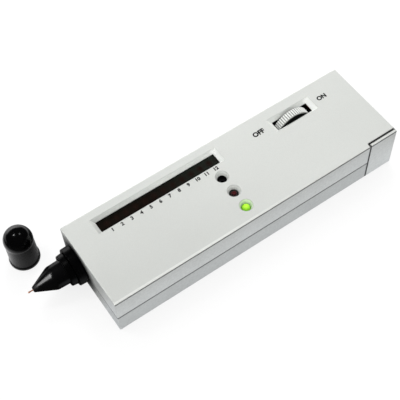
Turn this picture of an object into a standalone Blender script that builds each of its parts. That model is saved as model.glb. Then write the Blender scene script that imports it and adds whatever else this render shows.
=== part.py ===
# Diamond tester: a hand-held thermal tester for stones. Metres, +Z up.
# The origin is the centre of the case's underside. +X runs to the rear, and the probe points to -X.

import math

import bmesh
import bpy
from mathutils import Vector

# Clearances shared by all pieces
SEAT_GAP = 0.0003
OVERRUN = 0.001
EMBED = 0.0002

# Case
CASE_LENGTH = 0.185
CASE_WIDTH = 0.055
CASE_HEIGHT = 0.0295
WALL = 0.0015
EDGE_ROUND = 0.00055
SEAM_HEIGHT = 0.0139
SEAM_GAP = 0.0004
TONGUE_HEIGHT = 0.0013
TONGUE_THICKNESS = 0.00055

# Window trough, with its smoked filter glued below
WINDOW_FROM_FRONT = 0.0556
WINDOW_FROM_SIDE = 0.01005
WINDOW_RIM = (0.0811, 0.0102)
WINDOW_HOLE = (0.0763, 0.0071)
TROUGH_DEPTH = 0.0024
TROUGH_FLOOR = 0.0007
PAD_MARGIN = 0.0012
FILTER_MARGIN = 0.0016
FILTER_THICKNESS = 0.0012

# Thumbwheel and its trough
SLOT_FROM_REAR = 0.0401
SLOT_FROM_SIDE = 0.01175
SLOT_RIM = (0.0294, 0.0100)
SLOT_HOLE = (0.0242, 0.0065)
WHEEL_RADIUS = 0.0122
WHEEL_WIDTH = 0.0043
WHEEL_PROUD = 0.0037
WHEEL_RIM_DEPTH = 0.0027
WHEEL_DISH = 0.0011
WHEEL_HUB_RADIUS = 0.0036
RIB_COUNT = 54
RIB_DEPTH = 0.0005
RIB_ROUND = 0.0003
SHAFT_RADIUS = 0.0015
SHAFT_HOLE_RADIUS = 0.0009
SHAFT_HOLE_DEPTH = 0.0036
WHEEL_SCREW_RADIUS = 0.0024
WHEEL_SCREW_HEAD = 0.0010
WHEEL_SCREW_SHANK = 0.0006

# Potentiometer with switch, stood in a notch of the board
POT_RADIUS = 0.0074
POT_THICKNESS = 0.0055
POT_BUSH_RADIUS = 0.0032
POT_BUSH_LENGTH = 0.0010
POT_TO_WHEEL = 0.0005
POT_BACK = 0.0008
POT_TAB = (0.0100, 0.0040, 0.0010)
SHAFT_GAP = 0.0002

# Round lights in conical wells
WELL_FROM_FRONT = 0.08815
WELL_SHARES = (0.2142, 0.4605, 0.7070)
WELL_RIM_RADIUS = 0.00375
WELL_HOLE_RADIUS = 0.0027
WELL_DEPTH = 0.0027
WELL_PAD_RADIUS = 0.0050
LAMP_RADIUS = 0.0024
LAMP_HEIGHT = 0.0083
LAMP_FLANGE_RADIUS = 0.0028
LAMP_FLANGE = 0.0010
LAMP_RISE = 0.0006

# Scale lights under the window
SCALE_COUNT = 12
SCALE_PITCH = 0.0060
SCALE_RADIUS = 0.0015
SCALE_HEIGHT = 0.0053
SCALE_FLANGE_RADIUS = 0.0019
SCALE_FLANGE = 0.0009

# Board and what it carries
BOARD_THICKNESS = 0.0016
BOARD_FROM_FRONT = 0.0140
BOARD_FROM_REAR = 0.0285
BOARD_EDGE_GAP = 0.0015
NOTCH_GAP = 0.0005
BUZZER_RADIUS = 0.00475
BUZZER_HEIGHT = 0.0050
BUZZER_HOLE_RADIUS = 0.0011
BUZZER_HOLE_DEPTH = 0.0025
CHIP_SIZE = (0.0193, 0.0064, 0.0034)
CHIP_FROM_FRONT = 0.0400
CHIP_PITCH = 0.0300
CHIP_FROM_CENTRE = 0.0050
TRIMMER_SIZE = (0.0068, 0.0068, 0.0042)
TRIMMER_FROM_FRONT = 0.1020
TRIMMER_PITCH = 0.0110
TRIMMER_FROM_CENTRE = 0.0100
TRIMMER_DIAL_RADIUS = 0.0022
TRIMMER_DIAL = 0.0006

# Screws and posts
POST_FROM_SIDE = 0.0050
POST_FROM_FRONT = 0.0095
POST_FROM_REAR = 0.0315
POST_RADIUS = 0.0039
BOSS_RADIUS = 0.0029
CASE_SCREW_RADIUS = 0.00125
CASE_SCREW_LENGTH = 0.0140
CASE_SCREW_HEAD_RADIUS = 0.0025
CASE_SCREW_HEAD = 0.0018
CASE_SCREW_SINK = 0.0060
COUNTERBORE_RADIUS = 0.0029
BOARD_POST_RADIUS = 0.0023
BOARD_POST_INSET = 0.0045
BOARD_POST_FROM_REAR = 0.0140
BOARD_POST_FROM_SLOT = 0.0040
BOARD_SCREW_RADIUS = 0.0010
BOARD_SCREW_LENGTH = 0.0060
BOARD_SCREW_HEAD_RADIUS = 0.0021
BOARD_SCREW_HEAD = 0.0012
HEAD_ROUND = 0.0004
DRIVE_WIDTH = 0.0006
DRIVE_DEPTH = 0.0007

# Battery bay and door
DOOR_LAP = 0.0002
DOOR_THICKNESS = 0.0021
DOOR_GAP = 0.0004
DOOR_SLOT = 0.0006
HOOK_LENGTH = 0.0022
HOOK_THICKNESS = 0.0008
HOOK_END_GAP = 0.0015
RAIL_THICKNESS = 0.0006
RAIL_REACH = 0.0013
RAIL_LEVEL = 0.0011
RAIL_END = 0.0025
BAY_WALL = 0.0015
BAY_ROOM = 0.0026
WIRE_PASSAGE = 0.0037
BAY_RIB_THICKNESS = 0.0012
BAY_RIB_SHARES = (0.35, 0.85)
BATTERY_THICKNESS = 0.0170
BATTERY_END_GAP = 0.0008
BATTERY_ROUND = 0.0014
TERMINAL_HEIGHT = 0.0021
TERMINAL_OFFSET = 0.00635
TERMINAL_RADII = (0.0028, 0.0039)
CONTACT_THICKNESS = 0.0010
CONTACT_MARGINS = (0.0003, 0.00095)

# Nose: heights are measured outwards from the case's front face
NOSE_FROM_SIDE = 0.0153
NOSE_HEIGHT = 0.0144
COLLAR_LENGTH = 0.0051
COLLAR_RADII = (0.0112, 0.0110)
COLLAR_NECK_RADIUS = 0.0086
COLLAR_FLANGE_RADIUS = 0.0104
COLLAR_FLANGE = 0.0016
RING_LENGTH = 0.0034
RING_RADII = (0.0094, 0.0090)
TUBE_RADII = (0.0072, 0.0069)
TUBE_END = 0.0152
CONE_START = 0.0172
CONE_START_RADIUS = 0.00635
TIP_HEIGHT = 0.0276
TIP_RADIUS = 0.0015
TIP_ROUND = 0.0003
TAIL_RADIUS = 0.0062
TAIL_LENGTH = 0.0034
NOSE_BORE_RADIUS = 0.0044
BORE_END = 0.0166
TIP_BORE_START = 0.0256
TIP_BORE_RADIUS = 0.0008
CORNER_ROUND = 0.0003

# Probe, sprung in the nose
PROBE_TRAVEL = 0.0015
PIN_END = 0.0306
PIN_RADIUS = 0.00035
PIN_HEAD_RADIUS = 0.00047
PIN_HEAD = 0.0011
PIN_START = 0.0170
HOLDER_RADIUS = 0.0040
HOLDER_GUIDE = 0.0110
HOLDER_SHOULDER = 0.0159
HOLDER_NECK_RADIUS = 0.0015
HOLDER_END = 0.0222
HOLDER_STEM_RADIUS = 0.0020
HOLDER_STEM_END = 0.0010
HOLDER_BORE_RADIUS = 0.0012
HEATER_RADIUS = 0.0009
HEATER_LENGTH = 0.0032
STOP_RADIUS = 0.0041
STOP_BORE_RADIUS = 0.0024
STOP_FRONT = 0.0020
STOP_FLANGE_RADIUS = 0.0060
STOP_FLANGE = 0.0013
SPRING_RADIUS = 0.0031
SPRING_WIRE = 0.0003
SPRING_TURNS = 7
SPRING_POINTS = 10

# Wires
PROBE_LEAD_RADIUS = 0.00035
PROBE_LEAD_OFFSET = 0.00055
BATTERY_LEAD_RADIUS = 0.0006
BATTERY_LEAD_SPREAD = 0.0050
ROUTE_STEPS = 5

# Cap, stood on its mouth beside the tip
CAP_FROM_FRONT = 0.0202
CAP_FROM_CENTRE = 0.0407
CAP_MOUTH_RADIUS = 0.0087
CAP_LIP = 0.0018
CAP_BODY_RADII = (0.0080, 0.0077)
CAP_DOME_RADIUS = 0.0082
CAP_DOME_CENTRE = 0.0193
CAP_NECK_STEPS = 3
CAP_BORE_RADII = (0.0073, 0.0070)
CAP_BORE_END = 0.0170
CAP_DEPTH = 0.0242

ROUND_STEPS = 32
SMALL_STEPS = 20
TINY_STEPS = 12
MERGE_DISTANCE = 0.000001
CREASE_ANGLE = math.radians(35)

# Faces and levels that follow from the sizes above
front_x = -CASE_LENGTH / 2
rear_x = CASE_LENGTH / 2
near_y = -CASE_WIDTH / 2
far_y = CASE_WIDTH / 2
top_under = CASE_HEIGHT - WALL
lower_top = SEAM_HEIGHT - SEAM_GAP / 2
upper_bottom = SEAM_HEIGHT + SEAM_GAP / 2
window_x = front_x + WINDOW_FROM_FRONT
window_y = far_y - WINDOW_FROM_SIDE
slot_x = rear_x - SLOT_FROM_REAR
slot_y = far_y - SLOT_FROM_SIDE
nose_y = far_y - NOSE_FROM_SIDE
trough_floor = CASE_HEIGHT - TROUGH_DEPTH
pad_under = trough_floor - TROUGH_FLOOR
wheel_z = trough_floor + WHEEL_PROUD - WHEEL_RADIUS
well_x = front_x + WELL_FROM_FRONT
well_floor = CASE_HEIGHT - WELL_DEPTH
board_top = well_floor + LAMP_RISE - LAMP_HEIGHT - SEAT_GAP
board_under = board_top - BOARD_THICKNESS
board_front = front_x + BOARD_FROM_FRONT
board_rear = rear_x - BOARD_FROM_REAR
board_side = far_y - WALL - BOARD_EDGE_GAP
inner_rear = rear_x - WALL
inner_far = far_y - WALL
battery_rear = inner_rear - SEAT_GAP
battery_front = battery_rear - BATTERY_THICKNESS
bay_front = battery_front - BAY_ROOM
bay_wall_front = bay_front - BAY_WALL
door_front = battery_front + DOOR_LAP
door_inside = near_y + DOOR_THICKNESS
bay_edge = door_inside + DOOR_SLOT
hook_outside = near_y + WALL + SEAT_GAP
battery_near = hook_outside + HOOK_THICKNESS + BATTERY_END_GAP
contact_near = inner_far - SEAT_GAP - CONTACT_THICKNESS
battery_far = contact_near - SEAT_GAP - TERMINAL_HEIGHT
post_x = (front_x + POST_FROM_FRONT, rear_x - POST_FROM_REAR)
post_y = (near_y + POST_FROM_SIDE, far_y - POST_FROM_SIDE)

COLOURS = {
    "silver_paint": ((0.66, 0.68, 0.67), 0.38, 0.25),
    "smoked_acrylic": ((0.020, 0.012, 0.012), 0.12, 0.0),
    "green_lamp": ((0.42, 0.95, 0.04), 0.25, 0.0),
    "red_lamp": ((0.16, 0.012, 0.018), 0.25, 0.0),
    "scale_lamp": ((0.30, 0.02, 0.02), 0.3, 0.0),
    "white_plastic": ((0.74, 0.75, 0.74), 0.35, 0.0),
    "black_plastic": ((0.012, 0.012, 0.012), 0.22, 0.0),
    "copper": ((0.55, 0.24, 0.12), 0.35, 1.0),
    "steel": ((0.55, 0.55, 0.56), 0.35, 1.0),
    "circuit_board": ((0.03, 0.16, 0.07), 0.5, 0.0),
    "chip_black": ((0.02, 0.02, 0.022), 0.5, 0.0),
    "trimmer_blue": ((0.03, 0.12, 0.42), 0.45, 0.0),
    "ceramic": ((0.78, 0.76, 0.70), 0.55, 0.0),
    "battery_jacket": ((0.05, 0.05, 0.055), 0.4, 0.3),
    "fibre": ((0.25, 0.12, 0.06), 0.7, 0.0),
    "red_wire": ((0.55, 0.02, 0.02), 0.5, 0.0),
    "black_wire": ((0.02, 0.02, 0.02), 0.5, 0.0),
}
materials = {}


def clear_scene():
    for obj in list(bpy.data.objects):
        bpy.data.objects.remove(obj, do_unlink=True)


def new_collection(name, parent=None):
    made = bpy.data.collections.new(name)
    (parent or bpy.context.scene.collection).children.link(made)
    return made


def make_materials():
    for name, (colour, roughness, metallic) in COLOURS.items():
        material = bpy.data.materials.new(name)
        material.use_nodes = True
        shader = material.node_tree.nodes["Principled BSDF"]
        shader.inputs["Base Color"].default_value = (*colour, 1)
        shader.inputs["Roughness"].default_value = roughness
        shader.inputs["Metallic"].default_value = metallic
        materials[name] = material


clear_scene()
parts = new_collection("diamond_tester")
cutters = new_collection("cutters")
make_materials()


# Building blocks

def place(name, bm, location, finish, home):
    mesh = bpy.data.meshes.new(name)
    bm.to_mesh(mesh)
    bm.free()
    obj = bpy.data.objects.new(name, mesh)
    (home or parts).objects.link(obj)
    obj.location = location
    if finish:
        mesh.materials.append(materials[finish])
    if home:
        obj.hide_render = True
        obj.display_type = "WIRE"
    return obj


def block(name, low, high, finish=None, home=None):
    low, high = Vector(low), Vector(high)
    bm = bmesh.new()
    bmesh.ops.create_cube(bm, size=1)
    bmesh.ops.scale(bm, vec=high - low, verts=bm.verts)
    return place(name, bm, (low + high) / 2, finish, home)


def turn_to(obj, direction):
    # Local +Z points along the named direction.
    turns = {
        "-X": (0, -math.pi / 2, 0),
        "+Y": (-math.pi / 2, 0, 0),
        "-Z": (math.pi, 0, 0),
    }
    if direction in turns:
        obj.rotation_euler = turns[direction]


def turned(
    name, outer, inner=(), location=(0, 0, 0), direction="+Z", finish=None, home=None, steps=ROUND_STEPS
):
    # Each profile is a list of (radius, height) from top to bottom.
    # Without an inner one it is closed on the axis.
    profile = list(outer) + list(reversed(inner))
    if not inner and profile[0][0]:
        profile.insert(0, (0, profile[0][1]))
    if not inner and profile[-1][0]:
        profile.append((0, profile[-1][1]))
    bm = bmesh.new()
    points = [bm.verts.new((radius, 0, height)) for radius, height in profile]
    for first, second in zip(points, points[1:]):
        bm.edges.new((first, second))
    if inner:
        bm.edges.new((points[-1], points[0]))
    obj = place(name, bm, location, finish, home)
    turn_to(obj, direction)
    screw = obj.modifiers.new("Turn", "SCREW")
    screw.axis = "Z"
    screw.angle = 2 * math.pi
    screw.steps = steps
    screw.render_steps = steps
    screw.use_merge_vertices = True
    screw.merge_threshold = MERGE_DISTANCE
    screw.use_smooth_shade = True
    return obj


def cylinder(name, radius, low, high, location, direction="+Z", finish=None, home=None, steps=SMALL_STEPS):
    return turned(name, [(radius, high), (radius, low)], (), location, direction, finish, home, steps)


def dome(radius, height, base, steps=4):
    # Quarter ellipse from the top down to the radius, for the top of a turned profile
    angles = [math.pi / 2 * step / steps for step in range(steps + 1)]
    return [(radius * math.sin(angle), base + height * math.cos(angle)) for angle in angles]


def loft(name, rings, location, home):
    # Rectangular rings (length, width, height), from the lowest to the highest
    bm = bmesh.new()
    made = []
    for length, width, height in rings:
        corners = ((-length, -width), (length, -width), (length, width), (-length, width))
        made.append([bm.verts.new((x / 2, y / 2, height)) for x, y in corners])
    for low, high in zip(made, made[1:]):
        for index in range(4):
            after = (index + 1) % 4
            bm.faces.new((low[index], low[after], high[after], high[index]))
    bm.faces.new(reversed(made[0]))
    bm.faces.new(made[-1])
    return place(name, bm, location, None, home)


def boolean(obj, operation, other):
    modifier = obj.modifiers.new(operation.title(), "BOOLEAN")
    modifier.operation = operation
    modifier.solver = "EXACT"
    if isinstance(other, bpy.types.Collection):
        modifier.operand_type = "COLLECTION"
        modifier.collection = other
    else:
        modifier.object = other


def round_edges(obj, width, segments=2):
    bevel = obj.modifiers.new("Round", "BEVEL")
    bevel.width = width
    bevel.segments = segments
    bevel.limit_method = "ANGLE"


def carrier(name, location):
    empty = bpy.data.objects.new(name, None)
    parts.objects.link(empty)
    empty.location = location
    return empty


def ride(obj, parent):
    # Keeps the piece where it is and hangs it on its joint's empty.
    obj.parent = parent
    obj.location = obj.location - parent.location


def smooth_route(points):
    # A smooth curve through the route's points, read at equal steps between them
    ends = [points[0]] + list(points) + [points[-1]]
    ends = [Vector(point) for point in ends]
    route = []
    for before, start, end, after in zip(ends, ends[1:], ends[2:], ends[3:]):
        for step in range(ROUTE_STEPS):
            t = step / ROUTE_STEPS
            bend = 2 * before - 5 * start + 4 * end - after
            twist = 3 * start - before - 3 * end + after
            route.append((2 * start + (end - before) * t + bend * t ** 2 + twist * t ** 3) / 2)
    return route + [ends[-1]]


def wire(name, points, radius, finish, resolution=1):
    curve = bpy.data.curves.new(name, "CURVE")
    curve.dimensions = "3D"
    curve.bevel_depth = radius
    curve.bevel_resolution = resolution
    curve.use_fill_caps = True
    spline = curve.splines.new("POLY")
    spline.points.add(len(points) - 1)
    for point, place_of in zip(spline.points, points):
        point.co = (*place_of, 1)
    obj = bpy.data.objects.new(name, curve)
    parts.objects.link(obj)
    curve.materials.append(materials[finish])
    return obj


# Case

def round_outside(obj, is_inner):
    # Rounds each edge where two outer faces meet, and leaves the edges of the inner faces sharp.
    bm = bmesh.new()
    bm.from_mesh(obj.data)
    bm.normal_update()
    kept = [edge for edge in bm.edges if not any(is_inner(face) for face in edge.link_faces)]
    bmesh.ops.bevel(
        bm, geom=kept, offset=EDGE_ROUND, offset_type="OFFSET", affect="EDGES", segments=3, profile=0.5
    )
    bm.to_mesh(obj.data)
    bm.free()


def shell_block(name, bottom, top, flat_level):
    # The face at the seam stays sharp.
    obj = block(name, (front_x, near_y, bottom), (rear_x, far_y, top), "silver_paint")
    seam = flat_level - obj.location.z
    round_outside(obj, lambda face: abs(face.calc_center_median().z - seam) < SEAT_GAP)
    return obj


def trough_cutter(name, x, y, rim, hole, home):
    spread = [(high - low) * OVERRUN / TROUGH_DEPTH for high, low in zip(rim, hole)]
    rings = (
        (*hole, pad_under - OVERRUN),
        (*hole, trough_floor),
        (rim[0] + spread[0], rim[1] + spread[1], CASE_HEIGHT + OVERRUN),
    )
    loft(name, rings, (x, y, 0), home)


def trough_pad(name, x, y, rim, home):
    half = [side / 2 + PAD_MARGIN for side in rim]
    low = (x - half[0], y - half[1], pad_under)
    high = (x + half[0], y + half[1], top_under + EMBED)
    block(name, low, high, home=home)


def board_post_places():
    slot_front = slot_x - SLOT_RIM[0] / 2 - PAD_MARGIN
    return (
        (board_front + BOARD_POST_INSET, -board_side + BOARD_POST_INSET),
        (board_front + BOARD_POST_INSET, window_y - WINDOW_RIM[1] / 2 - PAD_MARGIN - BOARD_POST_INSET),
        (board_rear - BOARD_POST_FROM_REAR, -board_side + BOARD_POST_INSET),
        (slot_front - BOARD_POST_FROM_SLOT, board_side - BOARD_POST_INSET),
    )


def well_places():
    return [(well_x, near_y + share * (window_y - near_y)) for share in WELL_SHARES]


def bay_blocks(low, high, home):
    # The wall in front of the battery, short of the far side so that the wires pass, and its two ribs
    block(
        "bay_wall",
        (bay_wall_front, near_y + WALL - EMBED, low),
        (bay_front, inner_far - WIRE_PASSAGE, high),
        home=home,
    )
    for share in BAY_RIB_SHARES:
        y = near_y + share * (inner_far - near_y - WIRE_PASSAGE)
        block(
            "bay_rib",
            (bay_front - EMBED, y - BAY_RIB_THICKNESS / 2, low),
            (battery_front - SEAT_GAP, y + BAY_RIB_THICKNESS / 2, high),
            home=home,
        )


def door_cutter(level, home):
    # The door's opening, with a rail left standing on its edge to run in the door's groove
    opening = block(
        "door_opening",
        (door_front - DOOR_GAP, near_y - OVERRUN, -OVERRUN),
        (rear_x + OVERRUN, bay_edge, CASE_HEIGHT + OVERRUN),
        home=home,
    )
    rail = block(
        "door_rail",
        (door_front, bay_edge - RAIL_REACH, level - RAIL_THICKNESS / 2),
        (rear_x - RAIL_END, bay_edge + OVERRUN, level + RAIL_THICKNESS / 2),
        home=cutters,
    )
    boolean(opening, "DIFFERENCE", rail)


def nose_hole(home):
    cylinder(
        "nose_hole",
        COLLAR_NECK_RADIUS + SEAT_GAP,
        -WALL - OVERRUN,
        OVERRUN,
        (front_x, nose_y, NOSE_HEIGHT),
        "-X",
        home=home,
        steps=ROUND_STEPS,
    )


def make_upper_shell():
    shell = shell_block("upper_shell", upper_bottom, CASE_HEIGHT, upper_bottom)
    cavity = block(
        "upper_cavity",
        (front_x + WALL, near_y + WALL, upper_bottom - OVERRUN),
        (inner_rear, inner_far, top_under),
        home=cutters,
    )
    boolean(shell, "DIFFERENCE", cavity)

    added = new_collection("upper_added", cutters)
    trough_pad("window_pad", window_x, window_y, WINDOW_RIM, added)
    trough_pad("slot_pad", slot_x, slot_y, SLOT_RIM, added)
    for x, y in well_places():
        cylinder(
            "well_pad", WELL_PAD_RADIUS, well_floor - TROUGH_FLOOR, top_under + EMBED, (x, y, 0), home=added
        )
    for x in post_x:
        for y in post_y:
            cylinder("boss", BOSS_RADIUS, upper_bottom, top_under + EMBED, (x, y, 0), home=added)
    for x, y in board_post_places():
        cylinder(
            "board_post", BOARD_POST_RADIUS, board_top + SEAT_GAP, top_under + EMBED, (x, y, 0), home=added
        )
    bay_blocks(upper_bottom, top_under + EMBED, added)
    boolean(shell, "UNION", added)

    cuts = new_collection("upper_cuts", cutters)
    trough_cutter("window_cut", window_x, window_y, WINDOW_RIM, WINDOW_HOLE, cuts)
    trough_cutter("slot_cut", slot_x, slot_y, SLOT_RIM, SLOT_HOLE, cuts)
    flare = WELL_RIM_RADIUS + (WELL_RIM_RADIUS - WELL_HOLE_RADIUS) * OVERRUN / WELL_DEPTH
    for x, y in well_places():
        profile = (
            (flare, CASE_HEIGHT + OVERRUN),
            (WELL_HOLE_RADIUS, well_floor),
            (WELL_HOLE_RADIUS, well_floor - TROUGH_FLOOR - OVERRUN),
        )
        turned("well_cut", profile, (), (x, y, 0), home=cuts)
    screw_top = CASE_SCREW_SINK - SEAT_GAP + CASE_SCREW_LENGTH
    for x in post_x:
        for y in post_y:
            cylinder(
                "boss_hole",
                CASE_SCREW_RADIUS + SEAT_GAP,
                upper_bottom - OVERRUN,
                screw_top + SEAT_GAP,
                (x, y, 0),
                home=cuts,
            )
    for x, y in board_post_places():
        cylinder(
            "board_post_hole",
            BOARD_SCREW_RADIUS + SEAT_GAP,
            board_top - OVERRUN,
            board_under - SEAT_GAP + BOARD_SCREW_LENGTH + SEAT_GAP,
            (x, y, 0),
            home=cuts,
        )
    nose_hole(cuts)
    door_cutter(CASE_HEIGHT - RAIL_LEVEL, cuts)
    upper_rebate(cuts)
    boolean(shell, "DIFFERENCE", cuts)


def upper_rebate(home):
    # The upper wall is thinned on its inside for the lower shell's tongue.
    rebate = TONGUE_THICKNESS + SEAT_GAP
    ring = block(
        "upper_rebate",
        (front_x + WALL - rebate, near_y + WALL - rebate, upper_bottom - OVERRUN),
        (inner_rear + rebate, inner_far + rebate, lower_top + TONGUE_HEIGHT + SEAT_GAP),
        home=home,
    )
    core = block(
        "upper_rebate_core",
        (front_x + WALL + SEAT_GAP, near_y + WALL + SEAT_GAP, upper_bottom - 2 * OVERRUN),
        (inner_rear - SEAT_GAP, inner_far - SEAT_GAP, CASE_HEIGHT),
        home=cutters,
    )
    boolean(ring, "DIFFERENCE", core)


def make_lower_shell():
    tongue_top = lower_top + TONGUE_HEIGHT
    shell = shell_block("lower_shell", 0, tongue_top, tongue_top)
    cavity = block(
        "lower_cavity",
        (front_x + WALL, near_y + WALL, WALL),
        (inner_rear, inner_far, tongue_top + OVERRUN),
        home=cutters,
    )
    boolean(shell, "DIFFERENCE", cavity)

    added = new_collection("lower_added", cutters)
    for x in post_x:
        for y in post_y:
            cylinder("post", POST_RADIUS, WALL - EMBED, lower_top, (x, y, 0), home=added)
    bay_blocks(WALL - EMBED, lower_top, added)
    boolean(shell, "UNION", added)

    cuts = new_collection("lower_cuts", cutters)
    lower_rebate(tongue_top, cuts)
    for x in post_x:
        for y in post_y:
            cylinder(
                "post_hole",
                CASE_SCREW_RADIUS + SEAT_GAP,
                CASE_SCREW_SINK - OVERRUN,
                lower_top + OVERRUN,
                (x, y, 0),
                home=cuts,
            )
            cylinder("counterbore", COUNTERBORE_RADIUS, -OVERRUN, CASE_SCREW_SINK, (x, y, 0), home=cuts)
    nose_hole(cuts)
    door_cutter(RAIL_LEVEL, cuts)
    boolean(shell, "DIFFERENCE", cuts)


def lower_rebate(tongue_top, home):
    # The outer part of the wall ends at the seam and leaves the tongue.
    frame = block(
        "seam_frame",
        (front_x - OVERRUN, near_y - OVERRUN, lower_top),
        (rear_x + OVERRUN, far_y + OVERRUN, tongue_top + OVERRUN),
        home=home,
    )
    core = block(
        "seam_core",
        (front_x + WALL - TONGUE_THICKNESS, near_y + WALL - TONGUE_THICKNESS, lower_top - OVERRUN),
        (inner_rear + TONGUE_THICKNESS, inner_far + TONGUE_THICKNESS, tongue_top + 2 * OVERRUN),
        home=cutters,
    )
    boolean(frame, "DIFFERENCE", core)


def screw(name, shank_radius, length, head_radius, head_height, location):
    # The origin is under the head, and the shank runs along local +Z. The drive is a cross.
    profile = (
        (shank_radius, length),
        (shank_radius, 0),
        (head_radius, 0),
        (head_radius, HEAD_ROUND - head_height),
        (head_radius - HEAD_ROUND, -head_height),
    )
    obj = turned(name, profile, (), location, finish="steel", steps=TINY_STEPS)
    drive = new_collection(name + "_drive", cutters)
    reach = head_radius - HEAD_ROUND - SEAT_GAP
    for half in ((reach, DRIVE_WIDTH / 2), (DRIVE_WIDTH / 2, reach)):
        cutter = block(
            "drive",
            (-half[0], -half[1], -head_height - OVERRUN),
            (half[0], half[1], DRIVE_DEPTH - head_height),
            home=drive,
        )
        cutter.location = Vector(location) + cutter.location
    boolean(obj, "DIFFERENCE", drive)


def make_case_screws():
    number = 1
    for x in post_x:
        for y in post_y:
            screw(
                f"case_screw_{number}",
                CASE_SCREW_RADIUS,
                CASE_SCREW_LENGTH,
                CASE_SCREW_HEAD_RADIUS,
                CASE_SCREW_HEAD,
                (x, y, CASE_SCREW_SINK - SEAT_GAP),
            )
            number += 1


def make_board_screws():
    for number, (x, y) in enumerate(board_post_places(), 1):
        screw(
            f"board_screw_{number}",
            BOARD_SCREW_RADIUS,
            BOARD_SCREW_LENGTH,
            BOARD_SCREW_HEAD_RADIUS,
            BOARD_SCREW_HEAD,
            (x, y, board_under - SEAT_GAP),
        )


# Window and lights

def make_window_filter():
    half = [side / 2 + FILTER_MARGIN for side in WINDOW_HOLE]
    top = pad_under - SEAT_GAP
    return block(
        "window_filter",
        (window_x - half[0], window_y - half[1], top - FILTER_THICKNESS),
        (window_x + half[0], window_y + half[1], top),
        "smoked_acrylic",
    )


def lamp(name, radius, height, flange_radius, flange, x, y, finish, steps=SMALL_STEPS):
    profile = dome(radius, radius, height - radius, steps // 4)
    profile += [(radius, flange), (flange_radius, flange), (flange_radius, 0)]
    turned(name, profile, (), (x, y, board_top + SEAT_GAP), finish=finish, steps=steps)


def make_lights():
    ready, low, sound = well_places()
    sizes = (LAMP_RADIUS, LAMP_HEIGHT, LAMP_FLANGE_RADIUS, LAMP_FLANGE)
    lamp("ready_led", *sizes, *ready, "green_lamp")
    lamp("low_battery_led", *sizes, *low, "red_lamp")
    outer = [(BUZZER_RADIUS, BUZZER_HEIGHT), (BUZZER_RADIUS, 0)]
    buzzer = turned("buzzer", outer, (), (*sound, board_top + SEAT_GAP), finish="chip_black")
    hole = cylinder(
        "buzzer_hole",
        BUZZER_HOLE_RADIUS,
        BUZZER_HEIGHT - BUZZER_HOLE_DEPTH,
        BUZZER_HEIGHT + OVERRUN,
        buzzer.location,
        home=cutters,
    )
    boolean(buzzer, "DIFFERENCE", hole)
    first = window_x - SCALE_PITCH * (SCALE_COUNT - 1) / 2
    for index in range(SCALE_COUNT):
        lamp(
            f"scale_led_{index + 1:02d}",
            SCALE_RADIUS,
            SCALE_HEIGHT,
            SCALE_FLANGE_RADIUS,
            SCALE_FLANGE,
            first + SCALE_PITCH * index,
            window_y,
            "scale_lamp",
            steps=TINY_STEPS,
        )


# Board

def make_board():
    board = block(
        "main_board",
        (board_front, -board_side, board_under),
        (board_rear, board_side, board_top),
        "circuit_board",
    )
    cuts = new_collection("board_cuts", cutters)
    low, high = board_under - OVERRUN, board_top + OVERRUN
    wheel_near = slot_y - WHEEL_WIDTH / 2
    bush_end = wheel_near - POT_TO_WHEEL
    pot_back = bush_end - POT_BUSH_LENGTH - POT_THICKNESS
    wheel_reach = WHEEL_RADIUS + NOTCH_GAP
    pot_reach = POT_RADIUS + NOTCH_GAP
    block(
        "wheel_notch",
        (slot_x - wheel_reach, bush_end, low),
        (board_rear + OVERRUN, board_side + OVERRUN, high),
        home=cuts,
    )
    block(
        "pot_notch",
        (slot_x - pot_reach, pot_back - SEAT_GAP, low),
        (slot_x + pot_reach, bush_end + OVERRUN, high),
        home=cuts,
    )
    post_reach = POST_RADIUS + NOTCH_GAP
    block(
        "post_notch",
        (post_x[1] - post_reach, -board_side - OVERRUN, low),
        (board_rear + OVERRUN, post_y[0] + post_reach, high),
        home=cuts,
    )
    for x, y in board_post_places():
        radius = BOARD_SCREW_RADIUS + SEAT_GAP
        cylinder("board_hole", radius, low, high, (x, y, 0), home=cuts, steps=TINY_STEPS)
    boolean(board, "DIFFERENCE", cuts)
    return board


def make_chips():
    length, width, height = CHIP_SIZE
    top = board_under - SEAT_GAP
    for index, name in enumerate(("amplifier_chip", "driver_chip")):
        x = front_x + CHIP_FROM_FRONT + CHIP_PITCH * index
        y = -CHIP_FROM_CENTRE
        chip = block(
            name,
            (x - length / 2, y - width / 2, top - height),
            (x + length / 2, y + width / 2, top),
            "chip_black",
        )
        round_edges(chip, CORNER_ROUND, 1)


def make_trimmers():
    length, width, height = TRIMMER_SIZE
    top = board_under - SEAT_GAP
    for index in range(2):
        x = front_x + TRIMMER_FROM_FRONT + TRIMMER_PITCH * index
        y = -TRIMMER_FROM_CENTRE
        trimmer = block(
            f"trimmer_{index + 1}",
            (x - length / 2, y - width / 2, top - height),
            (x + length / 2, y + width / 2, top),
            "trimmer_blue",
        )
        dial = cylinder(
            "trimmer_dial",
            TRIMMER_DIAL_RADIUS,
            -TRIMMER_DIAL,
            EMBED,
            (x, y, top - height),
            home=cutters,
        )
        boolean(trimmer, "UNION", dial)


# Thumbwheel, its shaft and the potentiometer, all on one axis along Y

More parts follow.
